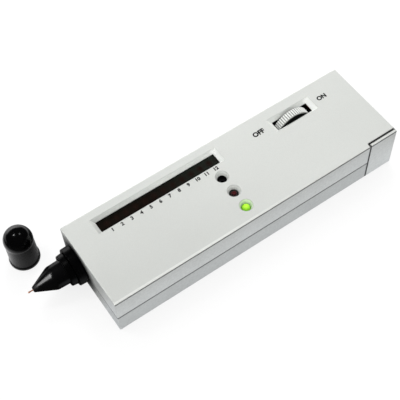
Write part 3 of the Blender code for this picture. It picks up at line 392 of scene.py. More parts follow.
def edgeTone(tree, vector):
    # how light the paint is, with painted light and shade: 1 leaves its colour as it is
    place = splitVector(tree, vector)
    paintedShade = paintedEdgeShade(tree, place)
    light = paintedEdgeLight(tree, place)
    # painted light on the wells' cones, brighter towards the rear, and a fine painted shade ring at each rim
    for well in paint["wells"]:
        fromWell = vectorNode(tree, "SUBTRACT", vector, (*case[well], 0))
        reach = distanceOnPlane(tree, fromWell, (1, 1, 0))
        polishAndPaintedLight = spread(tree, splitVector(tree, fromWell)["X"], *paint["wellLight"], *paint["wellSpread"])
        light = largest(tree, light, product(tree, polishAndPaintedLight, spread(tree, reach, 1, 0, *paint["wellReach"])))
        fromRim = distanceFrom(tree, reach, paint["wellReach"][1])
        paintedShade = largest(tree, paintedShade, spread(tree, fromRim, paint["wellRingDark"], 0, *paint["wellRing"]))
    # painted shade: the top darker towards the front and the near side
    wearAndShade = product(
        tree, spread(tree, place["X"], paint["topShadeDark"], 0, *paint["topShadeAlong"]),
        spread(tree, place["Y"], 1, 0, *paint["topShadeAcross"]),
        spread(tree, place["Z"], 0, 1, *paint["topShadeTop"]),
    )
    light = mathNode(tree, "SUBTRACT", light, wearAndShade)
    # painted shadow of the nose on the front face
    fromNose = distanceOnPlane(tree, vectorNode(tree, "SUBTRACT", vector, case["noseRoot"]), (0, 1, 1))
    shadow = product(
        tree, spread(tree, fromNose, paint["noseDark"], 0, *paint["noseReach"]),
        spread(tree, place["X"], 1, 0, *paint["frontFace"]),
    )
    paintedShade = largest(tree, paintedShade, shadow)
    mottle = product(
        tree, spread(tree, noise(tree, vector, *paint["mottle"]), *paint["mottleRange"]),
        spread(tree, place["Z"], 1, 0, *paint["mottleTop"]),
    )
    light = mathNode(tree, "ADD", light, mottle)
    return mathNode(tree, "SUBTRACT", mathNode(tree, "ADD", light, 1), paintedShade)


def silverPaint(name, tone, troughs):
    # sprayed silver on moulded plastic: fine flakes, faint orange peel and slow clouds
    material, tree, shader = startMaterial(name)
    base = shade(paint["colour"], tone)
    vector = objectCoordinates(tree)
    cloud = noise(tree, vector, paint["cloud"], 3)
    flakes = tree.nodes.new("ShaderNodeTexVoronoi")
    flakes.inputs["Scale"].default_value = paint["flake"]
    tree.links.new(vector, flakes.inputs["Vector"])
    flakeTone = shadesOf(tree, flakes.outputs["Color"], base, paint["flakeTones"], flakeReadings)
    cloudTone = shadesOf(tree, cloud, base, paint["cloudTones"], narrowReadings)
    colour = blendColours(tree, paint["flakeShare"], cloudTone, flakeTone)
    # rubbed patches are a little duller and warmer
    rub = noise(tree, vector, *paint["rub"])
    worn = blendColours(tree, spread(tree, rub, *paint["rubShare"]), colour, shade(paint["rubbed"], tone))
    bareAndShade = unsprayedAndShaded(tree, vector, troughs)
    # painted light and shade scale the colour here
    toned = vectorNode(tree, "SCALE", worn)
    tree.links.new(edgeTone(tree, vector), toned.node.inputs["Scale"])
    tree.links.new(blendColours(tree, bareAndShade, toned, paint["bareAndShade"]), shader.inputs["Base Color"])
    rough = largest(tree, spread(tree, rub, *paint["roughness"]), product(tree, bareAndShade, paint["bareRoughness"]))
    tree.links.new(rough, shader.inputs["Roughness"])
    tree.links.new(spread(tree, bareAndShade, paint["metallic"], 0, 0, 1), shader.inputs["Metallic"])
    peel = addBump(tree, shader, noise(tree, vector, paint["peel"], 2), paint["peelBump"], relief["peel"])
    addBump(tree, shader, flakes.outputs["Distance"], paint["flakeBump"], relief["flake"], peel)
    return material


window = {
    "colour": (0.0040, 0.0036, 0.0025),
    "rearColour": (0.0110, 0.0150, 0.0115),
    "rearFrom": (-0.005, 0.030),
    "glow": (0.0105, 0.0048, 0.0034),
    "pitch": 0.006,
    "patchAlong": (0.35, 1, 0.0008, 0.0027),
    "patchAcross": (1, 0, 0.0006, 0.0032),
    "centre": (-0.0369, 0.01745, 0.0262),
    "cloud": 120,
    "smoke": (0.8, 1.25),
    "haze": (400, 4),
    "grain": 900,
    "grainBump": 0.03,
    "roughness": (0.12, 0.22),
    "specular": 0.3,
}


def smokedWindow():
    # dark smoked acrylic: each lamp behind it shows as a faint dark red patch
    material, tree, shader = startMaterial("smokedWindow")
    vector = objectCoordinates(tree, centre=window["centre"])
    place = splitVector(tree, vector)
    wave = mathNode(tree, "PINGPONG", place["X"], window["pitch"] / 2)
    patch = product(
        tree, spread(tree, wave, *window["patchAlong"]),
        spread(tree, mathNode(tree, "ABSOLUTE", place["Y"], 0), *window["patchAcross"]),
    )
    smoke = shadesOf(tree, noise(tree, vector, window["cloud"], 3), window["colour"], window["smoke"])
    rearward = spread(tree, place["X"], 0, 1, *window["rearFrom"])
    smoke = blendColours(tree, rearward, smoke, window["rearColour"])
    tree.links.new(blendColours(tree, patch, smoke, window["glow"]), shader.inputs["Base Color"])
    haze = noise(tree, vector, *window["haze"])
    tree.links.new(spread(tree, haze, *window["roughness"]), shader.inputs["Roughness"])
    shader.inputs["Specular IOR Level"].default_value = window["specular"]
    addBump(tree, shader, noise(tree, vector, window["grain"]), window["grainBump"], relief["fine"])
    return material


# what all lamps' plastic shares
lens = {"ripple": 1600, "roughness": (0.12, 0.26), "bump": 0.05}


def lampLens(name, look):
    # a moulded lamp, brighter over its die and darker towards the rim: painted light on the lit ready lamp, and a
    # painted reflection of the die's cup on the dark lamps
    material, tree, shader = startMaterial(name)
    vector = objectCoordinates(tree, centre=(*look["centre"], 0))
    radius = spread(tree, distanceOnPlane(tree, vector, (1, 1, 0)), 0, 1, 0, look["radius"])
    ripple = noise(tree, vector, lens["ripple"], 2)
    uneven = mathNode(tree, "ADD", product(tree, ripple, look["ripple"]), radius)
    colour = ramp(tree, uneven, look["stops"])
    tree.links.new(colour, shader.inputs["Base Color"])
    if "glow" in look:
        tree.links.new(colour, shader.inputs["Emission Color"])
        shader.inputs["Emission Strength"].default_value = look["glow"]
    tree.links.new(spread(tree, ripple, *lens["roughness"]), shader.inputs["Roughness"])
    shader.inputs["Specular IOR Level"].default_value = look["specular"]
    addBump(tree, shader, ripple, lens["bump"], relief["fine"])
    return material


greenLens = {
    "centre": case["greenWell"],
    "radius": 0.0024,
    "ripple": 0.16,
    # painted light: the lit lamp's brightness is mostly in this pale base colour, beside a weak glow
    "stops": ((0.0, (0.50, 0.94, 0.06)), (0.55, (0.42, 0.90, 0.04)), (1.0, (0.20, 0.50, 0.015))),
    "glow": 0.06,
    "specular": 0.4,
}
redLens = {
    "centre": case["redWell"],
    "radius": 0.0024,
    "ripple": 0.9,
    "stops": (
        (0.30, (0.120, 0.011, 0.013)), (0.55, (0.034, 0.005, 0.005)),
        (0.80, (0.070, 0.007, 0.008)), (1.0, (0.012, 0.003, 0.003)),
    ),
    "specular": 0.25,
}
scaleLens = {
    "centre": (0.0, 0.01745),
    "radius": 0.004,
    "ripple": 0.5,
    "stops": ((0.2, (0.36, 0.03, 0.02)), (0.8, (0.20, 0.012, 0.01))),
    "specular": 0.25,
}

steelLook = {
    "colour": (0.60, 0.60, 0.61), "dull": (0.36, 0.35, 0.34), "stretch": (1, 1, 4),
    "roughness": (0.24, 0.42), "streaks": 900, "cloud": 90, "tarnish": 0.3, "metallic": 1,
}
copperLook = {
    "colour": (0.24, 0.105, 0.058), "dull": (0.10, 0.045, 0.026), "stretch": (12, 1, 1),
    "roughness": (0.28, 0.5), "streaks": 5000, "cloud": 90, "tarnish": 0.45, "metallic": 0.35,
}

paintOf = {
    "silver": silverPaint("silverPaint", 1, True),
    # a darker copy of the silver paint, for painted shade on the lower shell
    "silverShadedBase": silverPaint("silverPaintShadedBase", 0.815, False),
    "silverDoor": silverPaint("silverPaintDoor", 1.02, False),
    "window": smokedWindow(),
    "green": lampLens("greenLens", greenLens),
    "red": lampLens("redLens", redLens),
    "scale": lampLens("scaleLens", scaleLens),
    "steel": brushed("turnedSteel", steelLook),
    "copper": brushed("probeCopper", copperLook),
    "gloss": moulded("glossBlack", {
        "colour": (0.0010, 0.0010, 0.0011), "roughness": (0.16, 0.24), "cloud": 45, "grain": 1800,
        "vary": 0.25, "wave": 0.12, "texture": 0.05, "specular": 0.10,
        # duller at the cone's tip
        "tip": 0.7, "tipAlong": (-0.1195, -0.1150),
    }),
    "noseBlack": moulded("noseBlack", {
        "colour": (0.0010, 0.0010, 0.0011), "roughness": (0.24, 0.34), "cloud": 45, "grain": 1800,
        "vary": 0.25, "wave": 0.12, "texture": 0.1, "specular": 0.07,
    }),
    "satin": moulded("satinBlack", {
        "colour": (0.006, 0.006, 0.0063), "roughness": (0.32, 0.48), "cloud": 70, "grain": 2600,
        "vary": 0.25, "wave": 0.12, "texture": 0.2, "specular": 0.3,
    }),
    "board": moulded("boardGreen", {
        "colour": (0.025, 0.145, 0.06), "roughness": (0.35, 0.55), "cloud": 180, "grain": 1200,
        "vary": 0.2, "texture": 0.3,
    }),
    "chip": moulded("chipBlack", {
        "colour": (0.010, 0.010, 0.011), "roughness": (0.45, 0.62), "grain": 3000,
        "vary": 0.3, "texture": 0.35, "specular": 0.15,
    }),
    "trimmer": moulded("trimmerBlue", {
        "colour": (0.03, 0.12, 0.42), "roughness": (0.38, 0.52), "grain": 2200, "vary": 0.12,
    }),
    "ceramic": moulded("ceramicWhite", {
        "colour": (0.72, 0.70, 0.64), "roughness": (0.48, 0.66), "grain": 1900, "vary": 0.08, "texture": 0.3,
    }),
    "jacket": moulded("batteryJacket", {
        "colour": (0.045, 0.045, 0.05), "roughness": (0.28, 0.42), "cloud": 30,
        "vary": 0.2, "metallic": 0.5, "coat": 0.3,
    }),
    "fibre": moulded("brownFibre", {
        "colour": (0.22, 0.115, 0.055), "roughness": (0.6, 0.8), "cloud": 260, "grain": 1500,
        "vary": 0.25, "texture": 0.5,
    }),
    "redWire": moulded("redInsulation", {
        "colour": (0.17, 0.008, 0.007), "roughness": (0.45, 0.6), "vary": 0.12, "grain": 1600,
    }),
    "blackWire": moulded("blackInsulation", {
        "colour": (0.018, 0.018, 0.018), "roughness": (0.35, 0.5), "vary": 0.2, "grain": 1600,
    }),
    "ink": moulded("printedInk", {
        "colour": (0.006, 0.006, 0.007), "roughness": (0.42, 0.6), "cloud": 900, "grain": 5000,
        "vary": 0.35, "texture": 0.2, "specular": 0.2,
    }),
}
print("Materials made:", len(paintOf))


# carried-over pieces get their finishes, welded for smooth shading, and the silver ones lose needless edges

finishes = {
    "silver": ("upper_shell",),
    "silverShadedBase": ("lower_shell",),
    "silverDoor": ("battery_door",),
    "window": ("window_filter",),
    "green": ("ready_led",),
    "red": ("low_battery_led",),
    "scale": tuple(f"scale_led_{number:02d}" for number in range(1, 13)),
    "board": ("main_board",),
    "chip": ("buzzer", "driver_chip", "amplifier_chip"),
    "trimmer": ("trimmer_1", "trimmer_2"),
    "steel": tuple(
        ["wheel_shaft", "wheel_screw", "potentiometer", "probe_spring"]
        + [f"case_screw_{number}" for number in range(1, 5)]
        + [f"board_screw_{number}" for number in range(1, 5)]
    ),
    "copper": ("probe_pin", "probe_heater"),
    "ceramic": ("probe_holder",),
    "gloss": ("nose_collar", "nose_ring", "nose_cone", "cap"),
    "satin": ("spring_stop",),
    "jacket": ("battery",),
    "fibre": ("battery_contact_plate",),
    "redWire": ("battery_lead_red", "probe_lead_1"),
    "blackWire": ("battery_lead_black", "probe_lead_2"),
}


# points closer than "weld" are joined, edges flatter than "flat" are dissolved, and those steeper than "crease"
# stay sharp
dressing = {"weld": 0.000002, "flat": 0.6, "crease": 32}


def dressNodes():
    for finish, names in finishes.items():
        for name in names:
            node = nodes[name]
            node.data.materials.clear()
            node.data.materials.append(paintOf[finish])
            node.data.polygons.foreach_set("use_smooth", [True] * len(node.data.polygons))
            weld = node.modifiers.new("weld", "WELD")
            weld.merge_threshold = dressing["weld"]
            if finish.startswith("silver"):
                flats = node.modifiers.new("flats", "DECIMATE")
                flats.decimate_type = "DISSOLVE"
                flats.angle_limit = math.radians(dressing["flat"])
            split = node.modifiers.new("crease", "EDGE_SPLIT")
            split.split_angle = math.radians(dressing["crease"])
            node.modifiers.new("evenShading", "WEIGHTED_NORMAL")


dressNodes()
print("Carried-over pieces dressed")


# bmesh helpers for the pieces made here

# points nearer than this are one
touching = 1e-6


def spunShape(profile, steps=96):
    # profile of (radius, height), outer side from top to bottom, turned round Z
    bm = bmesh.new()
    corners = [bm.verts.new((radius, 0, height)) for radius, height in profile]
    edges = [bm.edges.new(pair) for pair in zip(corners, corners[1:])]
    if profile[0][0] and profile[-1][0]:
        edges.append(bm.edges.new((corners[-1], corners[0])))
    bmesh.ops.spin(
        bm, geom=corners + edges, cent=(0, 0, 0), axis=(0, 0, 1), angle=2 * math.pi, steps=steps, use_merge=True
    )
    bmesh.ops.remove_doubles(bm, verts=bm.verts, dist=touching)
    bmesh.ops.recalc_face_normals(bm, faces=bm.faces)
    return bm


def roundEdges(bm, edges, width, segments):
    bmesh.ops.bevel(
        bm, geom=edges, offset=width, offset_type="OFFSET", affect="EDGES", segments=segments, profile=0.5,
        material=-1, clamp_overlap=True,
    )


def soften(bm, width, angle=28):
    sharp = [
        edge for edge in bm.edges
        if len(edge.link_faces) == 2 and edge.calc_face_angle() > math.radians(angle)
    ]
    roundEdges(bm, sharp, width, 3)


def quarterTurn(steps, first=0):
    # sines and cosines of the steps from straight up to level
    angles = [math.pi / 2 * step / steps for step in range(first, steps + 1)]
    return [(math.sin(angle), math.cos(angle)) for angle in angles]


# edges steeper than this many degrees stay sharp on the pieces made here
sharpFrom = 50


def finishPiece(name, bm, material, body, replaced=(), weighted=True):
    mesh = bpy.data.meshes.new(name)
    bm.to_mesh(mesh)
    bm.free()
    mesh.materials.append(material)
    mesh.shade_smooth()
    mesh.set_sharp_from_angle(angle=math.radians(sharpFrom))
    piece = bpy.data.objects.new(name, mesh)
    bpy.context.scene.collection.objects.link(piece)
    if weighted:
        weights = piece.modifiers.new("evenShading", "WEIGHTED_NORMAL")
        weights.keep_sharp = True
    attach(piece, body)
    if replaced:
        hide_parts(*replaced)
    return piece


def turnedTo(bm, place, axis):
    # what was spun round Z is turned a quarter round the axis and put in its place
    matrix = Matrix.Translation(place) @ Matrix.Rotation(-math.pi / 2, 4, axis)
    bmesh.ops.transform(bm, matrix=matrix, verts=bm.verts)


# nose: collar, ring, cone and pin on one axis, as (radius, height) out from the case's front

nose = {
    "collar": (
        (0.0110, 0.0051), (0.0112, 0.0003), (0.0086, 0.0003),
        (0.0086, -0.0018), (0.0104, -0.0018), (0.0104, -0.0034),
    ),
    "collarBore": 0.0065,
    "ring": ((0.0090, 0.0088), (0.0094, 0.0054)),
    "ringBore": 0.0075,
    "edge": 0.00035,
}


def pointToFront(bm):
    turnedTo(bm, case["noseRoot"], "Y")


def makeNose():
    bore, collar = nose["collarBore"], nose["collar"]
    bm = spunShape(collar + ((bore, collar[-1][1]), (bore, collar[0][1])))
    soften(bm, nose["edge"])
    pointToFront(bm)
    finishPiece("noseCollar", bm, paintOf["noseBlack"], "case", ["nose_collar"])
    bore, ring = nose["ringBore"], nose["ring"]
    bm = spunShape(ring + ((bore, ring[-1][1]), (bore, ring[0][1])))
    soften(bm, nose["edge"])
    pointToFront(bm)
    finishPiece("noseRing", bm, paintOf["noseBlack"], "case", ["nose_ring"])


cone = {
    "tipRadius": 0.0015,
    "tip": 0.0276,
    "start": (0.00635, 0.0172),
    "tubeFront": (0.0069, 0.0152),
    "tubeRear": (0.0072, 0.0054),
    "tail": (0.0062, -0.0034),
    "tipBore": 0.0008,
    "bore": 0.0044,
    "boreEnd": 0.0166,
    "tipBoreStart": 0.0256,
    "bendSteps": 10,
    "edge": 0.00025,
    "softFrom": 35,
}


def coneProfile():
    # the shoulder is one smooth bend between the cone's slope and the tube
    start, end = Vector(cone["start"]), Vector(cone["tubeFront"])
    slope = (start.x - cone["tipRadius"]) / (cone["tip"] - start.y)
    corner = Vector((end.x, start.y - (end.x - start.x) / slope))
    bend = []
    for step in range(cone["bendSteps"] + 1):
        share = step / cone["bendSteps"]
        bend.append(tuple(start * (1 - share) ** 2 + corner * 2 * share * (1 - share) + end * share ** 2))
    outer = [(cone["tipRadius"], cone["tip"])] + bend
    outer += [cone["tubeRear"], (cone["tail"][0], cone["tubeRear"][1]), cone["tail"]]
    inner = [(cone["bore"], cone["tail"][1]), (cone["bore"], cone["boreEnd"])]
    inner += [(cone["tipBore"], cone["tipBoreStart"]), (cone["tipBore"], cone["tip"])]
    return outer + inner


def makeCone():
    bm = spunShape(coneProfile())
    soften(bm, cone["edge"], cone["softFrom"])
    pointToFront(bm)
    finishPiece("noseCone", bm, paintOf["gloss"], "case", ["nose_cone"])


pin = {
    "radius": 0.00035,
    "headRadius": 0.00047,
    "headSteps": 6,
    "end": 0.0306,
    "head": 0.0011,
    "neck": 0.00012,
    "start": 0.0170,
    "steps": 32,
}


def makePin():
    shoulder, head, radius = pin["end"] - pin["head"], pin["headRadius"], pin["radius"]
    dome = quarterTurn(pin["headSteps"], 1)
    profile = [(0, pin["end"])] + [(head * sine, pin["end"] - head * (1 - cosine)) for sine, cosine in dome]
    profile += [(head, shoulder), (radius, shoulder - pin["neck"]), (radius, pin["start"]), (0, pin["start"])]
    bm = spunShape(profile, pin["steps"])
    pointToFront(bm)
    finishPiece("probePin", bm, paintOf["copper"], "probe", ["probe_pin"])


makeNose()
makeCone()
makePin()
print("Nose and probe made")


# cap: a thin-walled cup with a bead round its mouth and a glossy dome

cap = {
    "place": (-0.11255, 0.04055, 0.0),
    "mouth": 0.0087,
    "lip": 0.0018,
    "bodyLow": 0.0082,
    "bodyHigh": 0.0080,
    "ball": 0.0082,
    "ballCentre": 0.0193,
    "ballSteps": 14,
    "neckSteps": 5,
    "bore": (0.0073, 0.0070),
    "boreEnd": 0.0170,
    "boreSteps": 12,
    "depth": 0.0242,
    "edge": 0.0003,
    "softFrom": 35,
    "belt": (-0.004, 0.002),
    "polished": (0.0007, 0.0007, 0.0008),
    "polishedRoughness": (0.13, 0.17),
    "worn": ((0.0012, 0.0012, 0.0013), (0.0020, 0.0020, 0.0022)),
    "wornRoughness": (0.22, 0.30),
    "specular": 0.3,
    "cloud": (160, 4),
    "grain": 2200,
    "grainBump": 0.06,
}


def makeCap():
    # the ball runs on below its middle until it meets the slimmer body
    ball, centre = cap["ball"], cap["ballCentre"]
    profile = [(ball * sine, centre + ball * cosine) for sine, cosine in quarterTurn(cap["ballSteps"])]
    neck = math.sqrt(ball ** 2 - cap["bodyHigh"] ** 2)
    for step in range(1, cap["neckSteps"] + 1):
        drop = neck * step / cap["neckSteps"]
        profile.append((math.sqrt(ball ** 2 - drop ** 2), centre - drop))
    profile += [
        (cap["bodyLow"], cap["lip"] + cap["mouth"] - cap["bodyLow"]),
        (cap["mouth"], cap["lip"]),
        (cap["mouth"], 0),
        (cap["bore"][0], 0),
    ]
    vault = cap["depth"] - cap["boreEnd"]
    for sine, cosine in reversed(quarterTurn(cap["boreSteps"])):
        profile.append((cap["bore"][1] * sine, cap["boreEnd"] + vault * cosine))
    bm = spunShape(profile)
    soften(bm, cap["edge"], cap["softFrom"])
    bmesh.ops.translate(bm, vec=cap["place"], verts=bm.verts)
    finishPiece("probeCap", bm, capPlastic(), "cap", ["cap"])


def capPlastic():
    # polished black, with a duller rubbed belt round the body where fingers hold it
    material, tree, shader = startMaterial("capBlack")
    vector = objectCoordinates(tree)
    height = mathNode(tree, "SUBTRACT", splitVector(tree, vector)["Z"], cap["ballCentre"])
    wearAndShade = spread(tree, height, 1, 0, *cap["belt"])
    grain = noise(tree, vector, cap["grain"], 3)
    cloud = noise(tree, vector, *cap["cloud"])
    satin = ramp(tree, cloud, list(zip(usualReadings, cap["worn"])))
    tree.links.new(blendColours(tree, wearAndShade, cap["polished"], satin), shader.inputs["Base Color"])
    shader.inputs["Specular IOR Level"].default_value = cap["specular"]
    polished = spread(tree, cloud, *cap["polishedRoughness"])
    dull = spread(tree, cloud, *cap["wornRoughness"])
    worn = product(tree, mathNode(tree, "SUBTRACT", dull, polished), wearAndShade)
    tree.links.new(mathNode(tree, "ADD", polished, worn), shader.inputs["Roughness"])
    addBump(tree, shader, grain, cap["grainBump"], relief["fine"])
    return material


makeCap()
print("Cap made")


# thumbwheel: ribbed rim, dished sides and a bored hub, turned on an axis along Y

wheel = {
    "axis": (0.0524, 0.01575, 0.0186),
    "radius": 0.01219,
    "width": 0.0043,
    "ribs": 54,
    "ribDepth": 0.0005,
    "unshadedDepth": 0.00005,
    "ribShape": (0, 0, 0, 0, 0, 1, 1, 1),
    "rim": 0.0011,
    "dish": 0.0011,
    "dishSlope": 0.0002,
    # the two outer edges are rounded, and are found in a band within the radius
    "edge": 0.00025,
    "band": 0.0008,
    "roughness": (0.30, 0.45),
    "cloud": 120,
    "grain": 2400,
    "grainBump": 0.1,
    "white": (0.74, 0.755, 0.73),
    "whiteTones": (0.93, 1),
    # painted shade in the grooves and on the hollow sides
    "grooveShade": (0.33, 0.34, 0.32),
    "hollow": (0.018, 0.018, 0.017),
    "hub": 0.0036,
    "hubDrop": 0.0003,
    "bore": 0.0018,
}


def ringFace(bm, face, radius, height):
    # insets a side's face and sets its new rim to a true circle
    bmesh.ops.inset_individual(bm, faces=[face], thickness=0, depth=0)
    for vert in face.verts:
        flat = Vector((vert.co.x, vert.co.y)).normalized() * radius
        vert.co = (flat.x, flat.y, height)


def ribbedDisc():
    bm = bmesh.new()
    shape = wheel["ribShape"]
    bmesh.ops.create_circle(bm, cap_ends=True, radius=wheel["radius"], segments=wheel["ribs"] * len(shape))
    bm.verts.ensure_lookup_table()
    for index, vert in enumerate(bm.verts):
        vert.co *= 1 - shape[index % len(shape)] * wheel["ribDepth"] / wheel["radius"]
    bmesh.ops.translate(bm, vec=(0, 0, -wheel["width"] / 2), verts=bm.verts)
    grown = bmesh.ops.extrude_face_region(bm, geom=list(bm.faces))
    raised = [item for item in grown["geom"] if isinstance(item, bmesh.types.BMVert)]
    bmesh.ops.translate(bm, vec=(0, 0, wheel["width"]), verts=raised)
    bmesh.ops.recalc_face_normals(bm, faces=bm.faces)
    return bm


def makeWheel():
    half, rim = wheel["width"] / 2, wheel["radius"] - wheel["rim"]
    floor, hub = half - wheel["dish"], half - wheel["hubDrop"]
    bm = ribbedDisc()
    sides = [face for face in bm.faces if len(face.verts) > 4]
    for face in sides:
        side = 1 if face.calc_center_median().z > 0 else -1
        for radius, height in (
            (rim, half), (rim - wheel["dishSlope"], floor), (wheel["hub"] + wheel["dishSlope"], floor),
            (wheel["hub"], hub), (wheel["bore"], hub),
        ):
            ringFace(bm, face, radius, side * height)
    rims = [edge for face in sides for edge in face.edges]
    bmesh.ops.delete(bm, geom=sides, context="FACES_ONLY")
    bmesh.ops.bridge_loops(bm, edges=rims)
    bmesh.ops.recalc_face_normals(bm, faces=bm.faces)
    innermost = wheel["radius"] - wheel["band"]
    outer = [
        edge for edge in bm.edges
        if all(abs(abs(vert.co.z) - half) < touching and vert.co.xy.length > innermost for vert in edge.verts)
        and edge.verts[0].co.z * edge.verts[1].co.z > 0
    ]
    roundEdges(bm, outer, wheel["edge"], 2)
    turnedTo(bm, wheel["axis"], "X")
    finishPiece("ribbedWheel", bm, wheelPlastic(), "wheel", ["thumbwheel"])


def wheelPlastic():
    # white plastic, with painted shade in the grooves and dark painted shade on the hollow sides
    material, tree, shader = startMaterial("whiteKnob")
    vector = objectCoordinates(tree, centre=wheel["axis"])
    radius = distanceOnPlane(tree, vector, (1, 0, 1))
    cloud = noise(tree, vector, wheel["cloud"], 3)
    grain = noise(tree, vector, wheel["grain"], 2)
    white = shadesOf(tree, cloud, wheel["white"], wheel["whiteTones"])
    # painted shade in the grooves, full at their floor and none near the ribs' tops
    grooveShade, unshaded = wheel["radius"] - wheel["ribDepth"], wheel["radius"] - wheel["unshadedDepth"]
    groove = spread(tree, radius, 0, 1, grooveShade, unshaded)
    ribbed = blendColours(tree, groove, wheel["grooveShade"], white)
    # painted shade on the hollow sides
    rim = wheel["radius"] - wheel["rim"]
    inside = spread(tree, radius, 1, 0, rim - wheel["dishSlope"], rim)
    tree.links.new(blendColours(tree, inside, ribbed, wheel["hollow"]), shader.inputs["Base Color"])
    tree.links.new(spread(tree, cloud, *wheel["roughness"]), shader.inputs["Roughness"])
    addBump(tree, shader, grain, wheel["grainBump"], relief["fine"])
    return material


makeWheel()
print("Thumbwheel made")


# round lamps in their wells

lamps = {
    "radius": 0.00262,
    "readyHeight": 0.0096,
    "lowHeight": 0.0086,
    "flangeRadius": 0.0028,
    "flange": 0.001,
    "domeSteps": 10,
    "steps": 48,
}


def makeLamp(name, well, height, material, node):
    radius, flange = lamps["radius"], lamps["flange"]
    profile = [(radius * sine, height - radius * (1 - cosine)) for sine, cosine in quarterTurn(lamps["domeSteps"])]
    profile += [(radius, flange), (lamps["flangeRadius"], flange), (lamps["flangeRadius"], 0), (0, 0)]
    bm = spunShape(profile, lamps["steps"])
    bmesh.ops.translate(bm, vec=(*case[well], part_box(node)[0].z), verts=bm.verts)
    finishPiece(name, bm, material, "case", [node])


makeLamp("readyLamp", "greenWell", lamps["readyHeight"], paintOf["green"], "ready_led")
makeLamp("lowBatteryLamp", "redWell", lamps["lowHeight"], paintOf["red"], "low_battery_led")
print("Lamps made")


# printed marks on the case's face: the switch's two words and plain scale numbers

marks = {
    "lift": 0.00003,
    "weight": 0.067,
    "curveSteps": 4,
    "weld": 1e-7,
    # a capital's height as a share of the font's size
    "capital": 0.7,
    "words": (
        ("OFF", (0.0291, 0.0161), 0.0029),
        ("ON", (0.0733, 0.0156), 0.0027),
    ),
    "first": (-0.070, 0.0105),
    "pitch": 0.006,
    "count": 12,
    "numberHeight": 0.0021,
}


def printText(text, centre, height):
    curve = bpy.data.curves.new("print", "FONT")
    curve.body = text
    curve.size = height / marks["capital"]
    curve.align_x = "CENTER"
    curve.align_y = "CENTER"
    curve.resolution_u = marks["curveSteps"]
    curve.offset = height * marks["weight"]
    obj = bpy.data.objects.new("print", curve)
    bpy.context.scene.collection.objects.link(obj)
    bpy.context.view_layer.update()
    mesh = bpy.data.meshes.new_from_object(obj.evaluated_get(bpy.context.evaluated_depsgraph_get()))
    mesh.transform(Matrix.Translation((centre[0], centre[1], case["top"] + marks["lift"])))
    bpy.data.objects.remove(obj)
    return mesh


def makeMarks():
    bm = bmesh.new()
    for text, centre, height in marks["words"]:
        bm.from_mesh(printText(text, centre, height))
    x, y = marks["first"]
    for step in range(marks["count"]):
        bm.from_mesh(printText(str(step + 1), (x + marks["pitch"] * step, y), marks["numberHeight"]))
    bmesh.ops.remove_doubles(bm, verts=bm.verts, dist=marks["weld"])
    finishPiece("printedMarks", bm, paintOf["ink"], "case", weighted=False)


makeMarks()
print("Printed marks made")


# floor and light

floorLook = {
    "halfSize": 3.0,
    "drop": 0.0002,
    "roughness": 0.8,
    "specular": 0.1,
    "seen": (0.97, 0.97, 0.97),
    "bright": (0.95, 0.95, 0.96),
    "dim": (0.05, 0.05, 0.05),
    "bounced": (0.56, 0.565, 0.59),
    "seenGlow": 0.78,
    "mirroredGlow": 0.2,
    # what gloss sees of the paper is painted light: bright in a pool beside the cap, all beyond a line on the far
    # side, and in a strip at the case's near foot, and elsewhere dim as painted shadow
    "pool": (-0.132, 0.056, 0.0),
    "poolReach": (0.012, 0.045),
    "farTurn": 75,
    "farLine": (0.050, 0.085),
    "stripReach": (0.010, 0.022),
    "stripEnd": (-0.012, 0.001),
    "stripGlow": 0.75,
    "strip": (0.90, 0.93, 1.0),
}


def makeFloor():
    bm = bmesh.new()
    bmesh.ops.create_grid(bm, x_segments=1, y_segments=1, size=floorLook["halfSize"])
    bmesh.ops.translate(bm, vec=(0, 0, -floorLook["drop"]), verts=bm.verts)
    mesh = bpy.data.meshes.new("floor")
    bm.to_mesh(mesh)
    bm.free()
    floor = bpy.data.objects.new("floor", mesh)
    bpy.context.scene.collection.objects.link(floor)
    material, tree, shader = startMaterial("paperWhite")
    shader.inputs["Roughness"].default_value = floorLook["roughness"]
    shader.inputs["Specular IOR Level"].default_value = floorLook["specular"]
    glow = tree.nodes.new("ShaderNodeEmission")
    path = tree.nodes.new("ShaderNodeLightPath")
    fromPool = vectorNode(tree, "LENGTH", objectCoordinates(tree, centre=floorLook["pool"]))
    pool = spread(tree, fromPool, 1, 0, *floorLook["poolReach"])
    place = objectCoordinates(tree)
    turn = math.radians(floorLook["farTurn"])
    across = vectorNode(tree, "DOT_PRODUCT", place, (math.cos(turn), math.sin(turn), 0))
    lit = largest(tree, pool, spread(tree, across, 0, 1, *floorLook["farLine"]))
    outside = distanceOutside(tree, place, (case["rear"], case["far"], 1))
    strip = product(
        tree, spread(tree, outside, 1, 0, *floorLook["stripReach"]),
        spread(tree, splitVector(tree, place)["Y"], 1, 0, *floorLook["stripEnd"]),
    )
    mirrored = largest(tree, path.outputs["Is Glossy Ray"], path.outputs["Is Transmission Ray"])
    # painted light and shadow on the paper as gloss sees it
    paper = blendColours(tree, lit, floorLook["dim"], floorLook["bright"])
    paper = blendColours(tree, mirrored, floorLook["bounced"], paper)
    paper = blendColours(tree, path.outputs["Is Camera Ray"], paper, floorLook["seen"])
    tree.links.new(paper, shader.inputs["Base Color"])
    mirroredGlow = largest(
        tree, product(tree, lit, floorLook["mirroredGlow"]), product(tree, strip, floorLook["stripGlow"])
    )
    seenGlow = product(tree, path.outputs["Is Camera Ray"], floorLook["seenGlow"])
    share = largest(tree, seenGlow, product(tree, mirrored, mirroredGlow))
    # painted bluish reflection on the strip
    tint = blendColours(tree, product(tree, mirrored, strip), (1, 1, 1), floorLook["strip"])
    tree.links.new(tint, glow.inputs["Color"])
    mixed = tree.nodes.new("ShaderNodeMixShader")
    tree.links.new(share, mixed.inputs["Fac"])
    tree.links.new(shader.outputs["BSDF"], mixed.inputs[1])
    tree.links.new(glow.outputs["Emission"], mixed.inputs[2])
    tree.links.new(mixed.outputs["Shader"], tree.nodes["Material Output"].inputs["Surface"])
    mesh.materials.append(material)


